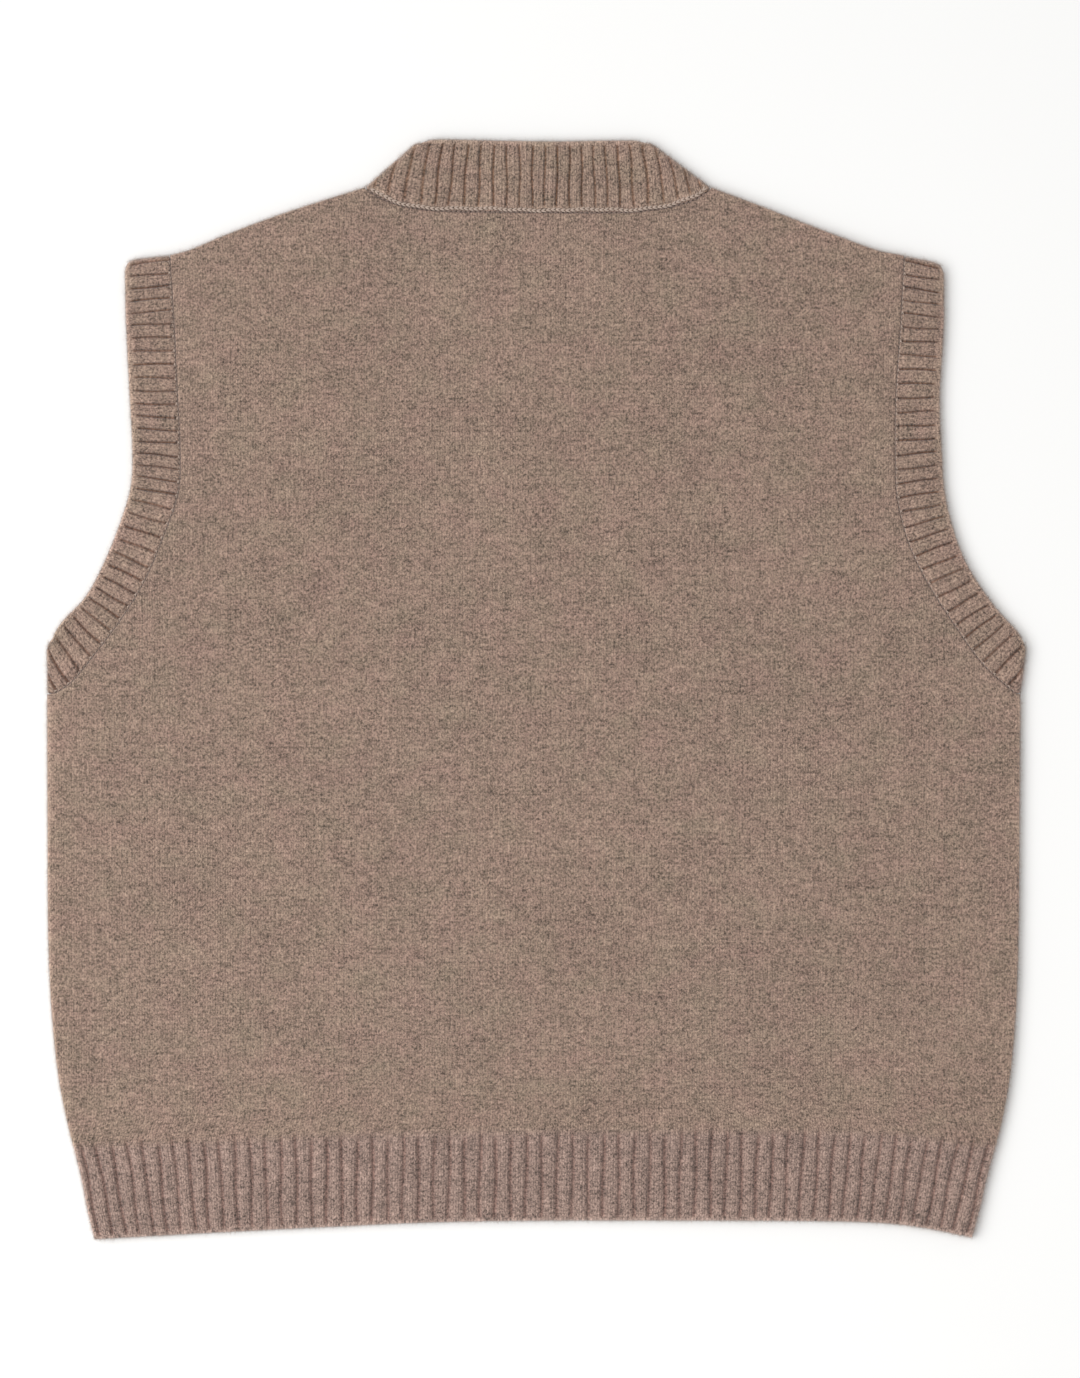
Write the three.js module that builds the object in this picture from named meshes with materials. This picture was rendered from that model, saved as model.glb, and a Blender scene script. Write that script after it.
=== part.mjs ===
// Knitted sweater vest, laid face down on a flat surface with its back uppermost.
// Millimetres: X runs across the vest, Y from the hem up to the neck, Z up from the surface.
// The tables measure Y from the lowest corner of the hem. The finished group is centred at the end.

import * as THREE from "three";

// Cloth and seams
const CLOTH = 2.6;
const LAYER_GAP = 0.3;
const SEAM_GAP = 0.3;
const INSIDE = LAYER_GAP / 2;
const OUTSIDE = INSIDE + CLOTH;
const FOLD_HEIGHT = OUTSIDE;

// Ribs: a ridge stands over the plain knit and the groove beside it lies under it
const RIDGE_RISE = 0.5;
const GROOVE_DROP = 0.6;
const RIDGE_EDGE = 0.16;
const HEM_RIBS = 60;
const HEM_RIB_START = 4;
const HEM_RIB_FADE = 0.86;

// Edges: how far in from an edge each step lies, and how far it drops under the plain knit
const EDGE_STEPS = table("inset open seam", [
  [0, 1.7, 0.9],
  [0.8, 0.6, 0.25],
  [2.4, 0, 0],
]);

// Steps along the parts of an outline
const HEM_COLUMNS = 30;
const SHOULDER_COLUMNS = 8;
const NECK_STEPS = HEM_COLUMNS - 2 * SHOULDER_COLUMNS - 2;
const SIDE_STEPS = 5;
const ARMHOLE_STEPS = 12;
const FOLD_STEPS = 4;

// Shares of a panel's height above the ribs: where its armholes start, and what a fold takes up
const UNDERARM_LEVEL = 0.45;
const FOLD_LEVEL = 0.01;

// Side seams, from the hem up to the underarm
const SIDE_SEAM = table("y left right", [
  [0, -245.3, 242.0],
  [16, -249.2, 246.4],
  [36, -253.1, 251.0],
  [64, -260.2, 258.5],
  [92, -265.6, 263.6],
  [133, -269.6, 267.0],
  [175, -271.1, 268.2],
  [230, -271.4, 268.7],
  [302, -271.7, 269.2],
]);
const HEM_EDGE = table("x y", [
  [-245.3, 0],
  [-187, 3.3],
  [-120, 6.7],
  [-60, 9.4],
  [0, 10.4],
  [60, 10.5],
  [150, 10.2],
  [190, 9.2],
  [215, 6.4],
  [242, 1],
]);
const RIB_TOP = table("x y", [
  [-257.6, 54],
  [-187, 58.5],
  [0, 60.5],
  [127, 62],
  [190, 60.5],
  [255.6, 55],
]);
const SHOULDER_LEFT = table("x y", [
  [-203.4, 546.6],
  [-192, 549.8],
  [-175, 557],
  [-150, 566.6],
  [-125, 575],
  [-95, 584.4],
]);
const SHOULDER_RIGHT = table("x y", [
  [97.2, 584.4],
  [124, 574.4],
  [150, 564.2],
  [170, 556.6],
  [190, 549.4],
  [204.6, 546.6],
]);

// Rib lines of each band, each from its end at the seam to its end at the free edge.
// A fold cuts across the last of them, so a line beyond a fold is only a guide.
const LEFT_ARMHOLE_RIBS = table("rib seamX seamY edgeX edgeY", [
  [0, -203.2, 543.8, -228.0, 541.4],
  [5, -201.0, 509.0, -227.6, 507.4],
  [10, -199.2, 471.0, -225.9, 471.6],
  [15, -197.6, 434.8, -224.2, 437.0],
  [18, -199.0, 413.5, -225.2, 418.0],
  [21, -207.4, 389.2, -231.2, 397.6],
  [24, -217.6, 365.4, -240.0, 376.0],
  [27, -230.2, 345.2, -250.4, 357.4],
  [30, -246.4, 325.0, -264.4, 342.8],
  [32, -258.4, 311.6, -274.2, 330.2],
  [34, -272.6, 304.0, -287.0, 325.0],
]);
const RIGHT_ARMHOLE_RIBS = table("rib seamX seamY edgeX edgeY", [
  [0, 204.4, 543.8, 226.6, 541.4],
  [5, 202.4, 507.0, 226.4, 505.2],
  [10, 199.8, 467.4, 224.3, 467.6],
  [15, 199.6, 427.4, 225.8, 430.4],
  [17, 200.6, 411.8, 226.9, 416.0],
  [20, 206.6, 387.4, 231.6, 395.2],
  [23, 218.0, 363.8, 239.8, 374.4],
  [26, 232.8, 341.2, 254.0, 355.0],
  [29, 248.4, 320.8, 268.2, 341.0],
  [31, 262.4, 308.4, 279.0, 329.0],
  [33, 276.0, 298.0, 290.0, 320.0],
]);
const NECK_RIBS = table("rib seamX seamY edgeX edgeY", [
  [-1, -98.0, 584.0, -88.0, 611.0],
  [1, -82.1, 575.6, -74.4, 611.0],
  [3, -64.4, 572.2, -59.0, 611.2],
  [5, -48.8, 571.1, -44.6, 611.0],
  [9, -16.1, 570.6, -16.1, 610.3],
  [13, 11.4, 570.3, 12.2, 610.0],
  [17, 40.2, 570.3, 38.3, 610.4],
  [19, 54.1, 570.6, 52.7, 610.6],
  [21, 71.0, 572.8, 67.7, 610.8],
  [23, 87.7, 576.8, 73.8, 610.8],
  [25, 98.5, 583.0, 80.5, 610.8],
]);

// Where each band folds under, along a line from the seam to the free edge,
// with the rib that the fold crosses at either end of that line
const LEFT_ARMHOLE_FOLDS = table("seamX seamY edgeX edgeY seamRib edgeRib", [
  [-203.2, 543.8, -225.6, 541.2, 0, 0],
  [-268.8, 303.0, -269.2, 334.6, 33.4, 31.3],
]);
const RIGHT_ARMHOLE_FOLDS = table("seamX seamY edgeX edgeY seamRib edgeRib", [
  [204.4, 543.8, 224.4, 541.2, 0, 0],
  [266.4, 303.4, 270.6, 334.0, 31.7, 29.8],
]);
const NECK_FOLDS = table("seamX seamY edgeX edgeY seamRib edgeRib", [
  [-93.1, 582.3, -63.8, 608.2, -0.3, 2.7],
  [95.5, 582.1, 59.0, 608.0, 24.6, 19.8],
]);

// The V of the front neck, down its right arm from the fold to the point.
// The left arm has the same shape, mirrored at the middle of the V.
const NECK_MIDDLE = 1.2;
const V_ARM = table("seamOut seamY edgeOut edgeY", [
  [94.3, 582.1, 57.8, 608.0],
  [91.4, 566.0, 56.6, 585.0],
  [86.6, 545.0, 53.2, 558.6],
  [66.2, 495.0, 32.8, 508.6],
  [43.8, 440.0, 13.8, 457.0],
  [21.4, 385.0, 5.2, 440.0],
  [0, 333.0, 0, 428.4],
]);

// Cross-section of a band: how far in each line lies from the seam or the free edge,
// how far it drops under the plain knit, and what the line is
const SIDE_OF_SEAM = SEAM_GAP / 2;
const ARMHOLE_SECTION = bandSection(1.4);
const NECK_SECTION = bandSection(3.4);

const WOOL = new THREE.MeshStandardMaterial({ color: 0x947f71, roughness: 0.95, metalness: 0 });
const RIB_WOOL = new THREE.MeshStandardMaterial({ color: 0x8f7b6e, roughness: 0.95, metalness: 0 });

function table(columns, rows) {
  const names = columns.split(" ");
  return rows.map((row) => Object.fromEntries(names.map((name, i) => [name, row[i]])));
}

function bandSection(ribStart) {
  return table("from inset drop ribbed", [
    ["seam", SIDE_OF_SEAM, CLOTH, false],
    ["seam", SIDE_OF_SEAM, 0.9, false],
    ["seam", ribStart, 0, true],
    ["edge", 4.2, 0, true],
    ["edge", 1.5, 0.35, false],
    ["edge", 0, 1.6, false],
    ["edge", 0.5, CLOTH, false],
  ]);
}

function mix(a, b, t) {
  return a + (b - a) * t;
}

function mixPoints(a, b, t) {
  return [mix(a[0], b[0], t), mix(a[1], b[1], t)];
}

function steps(count) {
  return Array.from({ length: count + 1 }, (_, i) => i / count);
}

// Smooth value of one column of a table between its rows
function columnAt(rows, key, column, at) {
  let i = 0;
  while (i < rows.length - 2 && at > rows[i + 1][key]) i++;
  const start = rows[i];
  const end = rows[i + 1];
  const before = rows[Math.max(i - 1, 0)];
  const after = rows[Math.min(i + 2, rows.length - 1)];
  const span = end[key] - start[key];
  const startSlope = ((end[column] - before[column]) / (end[key] - before[key])) * span;
  const endSlope = ((after[column] - start[column]) / (after[key] - start[key])) * span;
  const t = (at - start[key]) / span;
  const startPart = (1 + 2 * t) * (1 - t) ** 2 * start[column] + t * (1 - t) ** 2 * startSlope;
  const endPart = t * t * (3 - 2 * t) * end[column] - t * t * (1 - t) * endSlope;
  return startPart + endPart;
}

// A mesh in the making. A row is a list of vertices with a rising key.
class Knit {
  constructor() {
    this.positions = [];
    this.triangles = [];
  }

  vertex(key, point, height) {
    this.positions.push(point[0], point[1], height);
    return { key, index: this.positions.length / 3 - 1 };
  }

  // Joins two rows, always stepping along the one whose next vertex comes first
  join(low, high) {
    let i = 0;
    let j = 0;
    while (i < low.length - 1 || j < high.length - 1) {
      const lowNext = i < low.length - 1 ? low[i + 1].key : Infinity;
      const highNext = j < high.length - 1 ? high[j + 1].key : Infinity;
      if (lowNext <= highNext) {
        this.triangles.push(low[i].index, low[i + 1].index, high[j].index);
        i++;
      } else {
        this.triangles.push(low[i].index, high[j + 1].index, high[j].index);
        j++;
      }
    }
  }

  mesh(name, material) {
    if (this.volume() < 0) this.triangles.reverse();
    const geometry = new THREE.BufferGeometry();
    geometry.setAttribute("position", new THREE.Float32BufferAttribute(this.positions, 3));
    geometry.setIndex(this.triangles);
    geometry.computeVertexNormals();
    const mesh = new THREE.Mesh(geometry, material);
    mesh.name = name;
    return mesh;
  }

  volume() {
    const corner = (i) => new THREE.Vector3().fromArray(this.positions, this.triangles[i] * 3);
    let sum = 0;
    for (let i = 0; i < this.triangles.length; i += 3) {
      sum += corner(i).dot(corner(i + 1).cross(corner(i + 2)));
    }
    return sum;
  }
}

// Rib numbers where a ribbed line needs a vertex: both sides of each ridge and each groove
function ribBreaks(first, last) {
  const breaks = [];
  for (let groove = Math.floor(first); groove <= Math.ceil(last); groove++) {
    breaks.push(groove - RIDGE_EDGE, groove, groove + RIDGE_EDGE);
  }
  return breaks.filter((at) => at > first + RIDGE_EDGE / 2 && at < last - RIDGE_EDGE / 2);
}

function ribHeight(at) {
  return Math.abs(at - Math.round(at)) < RIDGE_EDGE / 2 ? -GROOVE_DROP : RIDGE_RISE;
}

// Bands

function ribLine(ribs, at) {
  return {
    seam: [columnAt(ribs, "rib", "seamX", at), columnAt(ribs, "rib", "seamY", at)],
    edge: [columnAt(ribs, "rib", "edgeX", at), columnAt(ribs, "rib", "edgeY", at)],
  };
}

function foldLine(fold) {
  return { seam: [fold.seamX, fold.seamY], edge: [fold.edgeX, fold.edgeY] };
}

function lineLength(line) {
  return Math.hypot(line.edge[0] - line.seam[0], line.edge[1] - line.seam[1]);
}

// Point of a rib line, so many millimetres in from its seam end or its free end
function pointOnLine(line, from, inset) {
  const t = inset / lineLength(line);
  return mixPoints(line.seam, line.edge, from === "seam" ? t : 1 - t);
}

// The same line seen by the panel across the seam
function panelPoint(line) {
  return pointOnLine(line, "seam", -SIDE_OF_SEAM);
}

// Sideways direction in which a fold bulges, away from a point inside the band
function foldDirection(fold, insidePoint) {
  const line = foldLine(fold);
  const length = lineLength(line);
  const across = [(line.edge[1] - line.seam[1]) / length, (line.seam[0] - line.edge[0]) / length];
  const reach = [line.seam[0] - insidePoint[0], line.seam[1] - insidePoint[1]];
  const sign = Math.sign(across[0] * reach[0] + across[1] * reach[1]);
  return [across[0] * sign, across[1] * sign];
}

// Lines across the upper half of a band, in even steps from one fold to the other
function upperLines(ribs, folds, count) {
  const [first, last] = folds;
  return steps(count).map((t) => {
    if (t === 0) return foldLine(first);
    if (t === 1) return foldLine(last);
    const seam = ribLine(ribs, mix(first.seamRib, last.seamRib, t)).seam;
    const edge = ribLine(ribs, mix(first.edgeRib, last.edgeRib, t)).edge;
    return { seam, edge };
  });
}

// One closed line of vertices around a band, at one place of its cross-section
function bandRow(knit, band, place) {
  const { ribs, folds, upper, lower } = band;
  const [first, last] = folds;
  const level = OUTSIDE - place.drop;
  const middle = ribLine(ribs, (first.seamRib + last.seamRib) / 2).seam;
  const row = [];
  const share = (fold) => {
    const t = place.inset / lineLength(foldLine(fold));
    return mix(fold.seamRib, fold.edgeRib, place.from === "seam" ? t : 1 - t);
  };
  const addFold = (fold, key, turn) => {
    const sideways = foldDirection(fold, middle);
    const base = pointOnLine(foldLine(fold), place.from, place.inset);
    const bends = place.drop === CLOTH ? 2 : FOLD_STEPS;
    for (const t of steps(bends)) {
      const angle = Math.PI * (turn > 0 ? t : 1 - t);
      const out = level * Math.sin(angle);
      const point = [base[0] + sideways[0] * out, base[1] + sideways[1] * out];
      row.push(knit.vertex(key + t, point, FOLD_HEIGHT + level * Math.cos(angle)));
    }
  };

  const start = share(first);
  const end = share(last);
  if (place.ribbed) {
    for (const at of ribBreaks(start, end)) {
      const point = pointOnLine(ribLine(ribs, at), place.from, place.inset);
      row.push(knit.vertex(at, point, FOLD_HEIGHT + level + ribHeight(at)));
    }
  } else {
    upper.slice(1, -1).forEach((line, i) => {
      const at = mix(start, end, (i + 1) / (upper.length - 1));
      const point = pointOnLine(line, place.from, place.inset);
      row.push(knit.vertex(at, point, FOLD_HEIGHT + level));
    });
  }
  addFold(last, 100, 1);
  lower.slice(1, -1).forEach((line, i) => {
    const point = pointOnLine(line, place.from, place.inset);
    row.push(knit.vertex(200 + i, point, FOLD_HEIGHT - level));
  });
  addFold(first, 300, -1);
  row.push({ key: 400, index: row[0].index });
  return row;
}

function bandMesh(name, band, section) {
  const knit = new Knit();
  const rows = section.map((place) => bandRow(knit, band, place));
  rows.forEach((row, i) => knit.join(row, rows[(i + 1) % rows.length]));
  return knit.mesh(name, RIB_WOOL);
}

function armholeBand(ribs, folds) {
  const upper = upperLines(ribs, folds, ARMHOLE_STEPS);
  return { ribs, folds, upper, lower: [...upper].reverse() };
}

function neckBand() {
  const right = V_ARM.map((row) => vLine(row, 1));
  const left = V_ARM.map((row) => vLine(row, -1)).reverse();
  const lower = [...right, ...left.slice(1)];
  lower[lower.length - 1] = foldLine(NECK_FOLDS[0]);
  return {
    ribs: NECK_RIBS,
    folds: NECK_FOLDS,
    upper: upperLines(NECK_RIBS, NECK_FOLDS, NECK_STEPS),
    lower,
  };
}

function vLine(row, side) {
  return {
    seam: [NECK_MIDDLE + side * row.seamOut, row.seamY],
    edge: [NECK_MIDDLE + side * row.edgeOut, row.edgeY],
  };
}

// Corner of a panel beside a fold, level with the outside of that fold
function foldCorner(band, fold) {
  const middle = ribLine(band.ribs, (band.folds[0].seamRib + band.folds[1].seamRib) / 2).seam;
  const sideways = foldDirection(fold, middle);
  const base = panelPoint(foldLine(fold));
  return [base[0] + sideways[0] * OUTSIDE, base[1] + sideways[1] * OUTSIDE];
}

// Panels

// One side of a panel above the ribs: the side seam, then the armhole up to the shoulder
function panelSide(band, column, ribTopHeight) {
  const corner = foldCorner(band, band.folds[1]);
  const seam = steps(SIDE_STEPS).map((t) => {
    const y = mix(ribTopHeight, corner[1], t);
    return t === 1 ? corner : [columnAt(SIDE_SEAM, "y", column, y), y];
  });
  const armhole = [...band.upper].reverse().map(panelPoint);
  return [...seam, ...armhole, foldCorner(band, band.folds[0])];
}

// How far up the body each point of a panel's side lies, from 0 to 1
function sideLevels() {
  const side = steps(SIDE_STEPS).map((t) => t * UNDERARM_LEVEL);
  const armhole = steps(ARMHOLE_STEPS).map((t) => mix(UNDERARM_LEVEL + FOLD_LEVEL, 1 - FOLD_LEVEL, t));
  return [...side, ...armhole, 1];
}

// Top of a panel: left shoulder, neck seam, right shoulder
function panelTop(neck, seamLines, shoulders) {
  const [leftTip, rightTip] = shoulders;
  const leftCorner = foldCorner(neck, neck.folds[0]);
  const rightCorner = foldCorner(neck, neck.folds[1]);
  const shoulder = (from, to, rows) => steps(SHOULDER_COLUMNS).map((t) => {
    const x = mix(from[0], to[0], t);
    if (t === 0) return from;
    return t === 1 ? to : [x, columnAt(rows, "x", "y", x)];
  });
  const left = shoulder(leftTip, leftCorner, SHOULDER_LEFT);
  const right = shoulder(rightCorner, rightTip, SHOULDER_RIGHT);
  return [...left, ...seamLines.map(panelPoint), ...right];
}

// Point of a patch that is bounded by four lines, each a list with its own levels
function patchPoint(patch, u, v) {
  const { bottom, top, left, right } = patch;
  const ends = [bottom(0), bottom(1), top(0), top(1)];
  const point = [0, 1].map((axis) => {
    const upright = mix(bottom(u)[axis], top(u)[axis], v);
    const level = mix(left(v)[axis], right(v)[axis], u);
    const low = mix(ends[0][axis], ends[1][axis], u);
    const high = mix(ends[2][axis], ends[3][axis], u);
    return upright + level - mix(low, high, v);
  });
  return point;
}

// A line through listed points, read at a share of its length between listed levels
function lineThrough(points, levels) {
  return (at) => {
    let i = 0;
    while (i < points.length - 2 && at > levels[i + 1]) i++;
    return mixPoints(points[i], points[i + 1], (at - levels[i]) / (levels[i + 1] - levels[i]));
  };
}

function edgeDrop(inset, kind) {
  for (let i = 0; i < EDGE_STEPS.length - 1; i++) {
    const from = EDGE_STEPS[i];
    const to = EDGE_STEPS[i + 1];
    if (inset < to.inset) {
      return mix(from[kind], to[kind], (inset - from.inset) / (to.inset - from.inset));
    }
  }
  return 0;
}

function panelMesh(name, layer, bands, seamLines, ribbed) {
  const knit = new Knit();
  const tipLeft = foldCorner(bands.left, bands.left.folds[0]);
  const tipRight = foldCorner(bands.right, bands.right.folds[0]);
  const levels = sideLevels();
  const left = panelSide(bands.left, "left", RIB_TOP[0].y);
  const right = panelSide(bands.right, "right", RIB_TOP[RIB_TOP.length - 1].y);
  const top = panelTop(bands.neck, seamLines, [tipLeft, tipRight]);
  const cornerShare = SHOULDER_COLUMNS / HEM_COLUMNS;
  const topShares = [
    ...steps(SHOULDER_COLUMNS).map((t) => t * cornerShare),
    ...steps(NECK_STEPS).map((t) => (SHOULDER_COLUMNS + 1 + t * NECK_STEPS) / HEM_COLUMNS),
    ...steps(SHOULDER_COLUMNS).map((t) => 1 - cornerShare + t * cornerShare),
  ];

  const hemLine = (u) => {
    const x = mix(HEM_EDGE[0].x, HEM_EDGE[HEM_EDGE.length - 1].x, u);
    return [x, columnAt(HEM_EDGE, "x", "y", x)];
  };
  const ribTopLine = (u) => {
    const x = mix(left[0][0], right[0][0], u);
    return [x, columnAt(RIB_TOP, "x", "y", x)];
  };
  const sideLine = (column, low, high) => (v) => {
    const y = mix(low, high, v);
    return [columnAt(SIDE_SEAM, "y", column, y), y];
  };
  const hemPatch = {
    bottom: hemLine,
    top: ribTopLine,
    left: sideLine("left", HEM_EDGE[0].y, left[0][1]),
    right: sideLine("right", HEM_EDGE[HEM_EDGE.length - 1].y, right[0][1]),
  };
  const bodyPatch = {
    bottom: ribTopLine,
    top: lineThrough(top, topShares),
    left: lineThrough(left, levels),
    right: lineThrough(right, levels),
  };

  // Shares of the width: a few columns close to each side, then one for every second rib
  const width = HEM_EDGE[HEM_EDGE.length - 1].x - HEM_EDGE[0].x;
  const closeColumns = EDGE_STEPS.slice(1).map((step) => step.inset / width);
  const plainColumns = steps(HEM_COLUMNS);
  const outerColumns = [
    0, ...closeColumns, ...plainColumns.slice(1, -1), ...closeColumns.map((u) => 1 - u).reverse(), 1,
  ];
  const ribColumns = [
    0, ...closeColumns, ...ribBreaks(RIDGE_EDGE * 2, HEM_RIBS - RIDGE_EDGE * 2).map((at) => at / HEM_RIBS),
    ...closeColumns.map((u) => 1 - u).reverse(), 1,
  ];

  const ribSpan = left[0][1] - HEM_EDGE[0].y;
  const topGap = EDGE_STEPS[1].inset / EDGE_STEPS[2].inset;
  const hemRows = [
    ...EDGE_STEPS.map((step) => ({ v: step.inset / ribSpan, inset: step.inset, ribs: false })),
    { v: HEM_RIB_START / ribSpan, inset: Infinity, ribs: ribbed },
    { v: HEM_RIB_FADE, inset: Infinity, ribs: ribbed },
  ];
  const bodyRows = levels.map((v) => ({ v, topInset: v === 1 ? 0 : Infinity }));
  bodyRows.splice(bodyRows.length - 1, 0, {
    v: mix(1, levels[levels.length - 2], topGap),
    topInset: EDGE_STEPS[1].inset,
  });

  const height = (drop) => FOLD_HEIGHT + layer * (OUTSIDE - drop);
  const sideInset = (u) => Math.min(u, 1 - u) * width;
  const seamColumn = (u) => u > cornerShare && u < 1 - cornerShare;
  const outer = [];
  for (const row of hemRows) {
    const columns = row.ribs ? ribColumns : outerColumns;
    outer.push(columns.map((u) => {
      const drop = Math.max(edgeDrop(row.inset, "open"), edgeDrop(sideInset(u), "open"));
      const inRibs = row.ribs && sideInset(u) > EDGE_STEPS[2].inset;
      const rise = inRibs ? ribHeight(u * HEM_RIBS) : 0;
      return knit.vertex(u, patchPoint(hemPatch, u, row.v), height(drop - rise));
    }));
  }
  for (const row of bodyRows) {
    const sideKind = row.v > UNDERARM_LEVEL ? "seam" : "open";
    outer.push(outerColumns.map((u) => {
      const topKind = seamColumn(u) ? "seam" : "open";
      const drop = Math.max(edgeDrop(row.topInset, topKind), edgeDrop(sideInset(u), sideKind));
      return knit.vertex(u, patchPoint(bodyPatch, u, row.v), height(drop));
    }));
  }

  const inside = height(CLOTH);
  const inner = [
    plainColumns.map((u) => knit.vertex(u, patchPoint(hemPatch, u, 0), inside)),
    ...levels.map((v) => plainColumns.map((u) => knit.vertex(u, patchPoint(bodyPatch, u, v), inside))),
  ];
  const outerLevels = [...hemRows.map((row) => row.v - 1), ...bodyRows.map((row) => row.v)];
  const innerLevels = [-1, ...levels];
  const edgeOf = (rows, keys, pick) => rows.map((row, i) => ({ key: keys[i], index: pick(row).index }));
  const firstOf = (row) => row[0];
  const lastOf = (row) => row[row.length - 1];

  outer.slice(1).forEach((row, i) => knit.join(outer[i], row));
  inner.slice(1).forEach((row, i) => knit.join(row, inner[i]));
  knit.join(inner[0], outer[0]);
  knit.join(lastOf(outer), lastOf(inner));
  knit.join(edgeOf(outer, outerLevels, firstOf), edgeOf(inner, innerLevels, firstOf));
  knit.join(edgeOf(inner, innerLevels, lastOf), edgeOf(outer, outerLevels, lastOf));
  return knit.mesh(name, WOOL);
}

function vest() {
  const bands = {
    left: armholeBand(LEFT_ARMHOLE_RIBS, LEFT_ARMHOLE_FOLDS),
    right: armholeBand(RIGHT_ARMHOLE_RIBS, RIGHT_ARMHOLE_FOLDS),
    neck: neckBand(),
  };
  const group = new THREE.Group();
  group.add(panelMesh("front", -1, bands, [...bands.neck.lower].reverse(), false));
  group.add(panelMesh("back", 1, bands, bands.neck.upper, true));
  group.add(bandMesh("armhole_band_left", bands.left, ARMHOLE_SECTION));
  group.add(bandMesh("armhole_band_right", bands.right, ARMHOLE_SECTION));
  group.add(bandMesh("neck_band", bands.neck, NECK_SECTION));
  return group;
}

// The origin is under the middle of the vest, on the surface that it lies on
function centred(group) {
  const box = new THREE.Box3().setFromObject(group);
  const middle = box.getCenter(new THREE.Vector3());
  group.position.set(-middle.x, -middle.y, -box.min.z);
  return group;
}

const group = centred(vest());

export default group;
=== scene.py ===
"""Looks of a knitted sweater vest that lies face down on a pale surface, seen from straight above."""

import math

import bmesh
import bpy
import numpy as np
from mathutils import Matrix, Vector


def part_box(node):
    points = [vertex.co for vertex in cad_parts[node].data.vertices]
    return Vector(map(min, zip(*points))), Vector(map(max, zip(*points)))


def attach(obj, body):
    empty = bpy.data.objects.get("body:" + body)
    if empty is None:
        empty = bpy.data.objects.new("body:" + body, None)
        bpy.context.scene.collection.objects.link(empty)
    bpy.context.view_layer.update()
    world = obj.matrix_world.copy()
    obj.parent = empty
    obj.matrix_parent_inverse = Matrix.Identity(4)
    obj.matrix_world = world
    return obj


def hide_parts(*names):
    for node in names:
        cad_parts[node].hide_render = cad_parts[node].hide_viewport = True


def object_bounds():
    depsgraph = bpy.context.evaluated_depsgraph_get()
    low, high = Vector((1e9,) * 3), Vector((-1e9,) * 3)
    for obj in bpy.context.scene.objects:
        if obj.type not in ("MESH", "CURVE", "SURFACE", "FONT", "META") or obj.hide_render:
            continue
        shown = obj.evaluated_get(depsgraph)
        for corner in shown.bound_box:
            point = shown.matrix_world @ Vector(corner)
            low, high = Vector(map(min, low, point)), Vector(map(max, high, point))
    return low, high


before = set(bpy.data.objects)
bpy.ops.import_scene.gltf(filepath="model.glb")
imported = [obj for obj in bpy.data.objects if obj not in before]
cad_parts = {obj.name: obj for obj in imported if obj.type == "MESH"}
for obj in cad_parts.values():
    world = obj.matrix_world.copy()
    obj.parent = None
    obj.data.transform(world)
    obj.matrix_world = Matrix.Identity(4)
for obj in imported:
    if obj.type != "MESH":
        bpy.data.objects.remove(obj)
CAD_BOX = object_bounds()

bl_info = {
    "name": "Knitted Sweater Vest",
    "version": (1, 0, 0),
    "blender": (4, 5, 0),
    "location": "View3D > Sidebar > Vest",
    "description": "Builds a ribbed, sleeveless knitted vest laid flat",
    "category": "Object",
}

MM = 0.001
BODY = "root"


def table(columns, rows):
    """A table with named columns, as arrays."""
    return {name: np.array([row[i] for row in rows], float) for i, name in enumerate(columns.split())}


# Millimetres. Y is measured from the lowest corner of the hem, X from the middle of the photo's view.
SIDE_SEAM = table("y left right", [
    (0, -245.3, 242.0),
    (16, -249.2, 246.4),
    (36, -253.1, 251.0),
    (64, -260.2, 258.5),
    (92, -265.6, 263.6),
    (133, -269.6, 267.0),
    (175, -271.1, 268.2),
    (230, -271.4, 268.7),
    (302, -271.7, 269.2),
])
HEM_EDGE = table("x y", [
    (-245.3, 0),
    (-187, 3.3),
    (-120, 6.7),
    (-60, 9.4),
    (0, 10.4),
    (60, 10.5),
    (150, 10.2),
    (190, 9.2),
    (215, 6.4),
    (242, 1),
])
RIB_TOP = table("x y", [
    (-257.6, 54),
    (-187, 58.5),
    (0, 60.5),
    (127, 62),
    (190, 60.5),
    (255.6, 55),
])
SHOULDER_LEFT = table("x y", [
    (-203.4, 546.6),
    (-192, 549.8),
    (-175, 557),
    (-150, 566.6),
    (-125, 575),
    (-95, 584.4),
])
SHOULDER_RIGHT = table("x y", [
    (97.2, 584.4),
    (124, 574.4),
    (150, 564.2),
    (170, 556.6),
    (190, 549.4),
    (204.6, 546.6),
])

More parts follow.
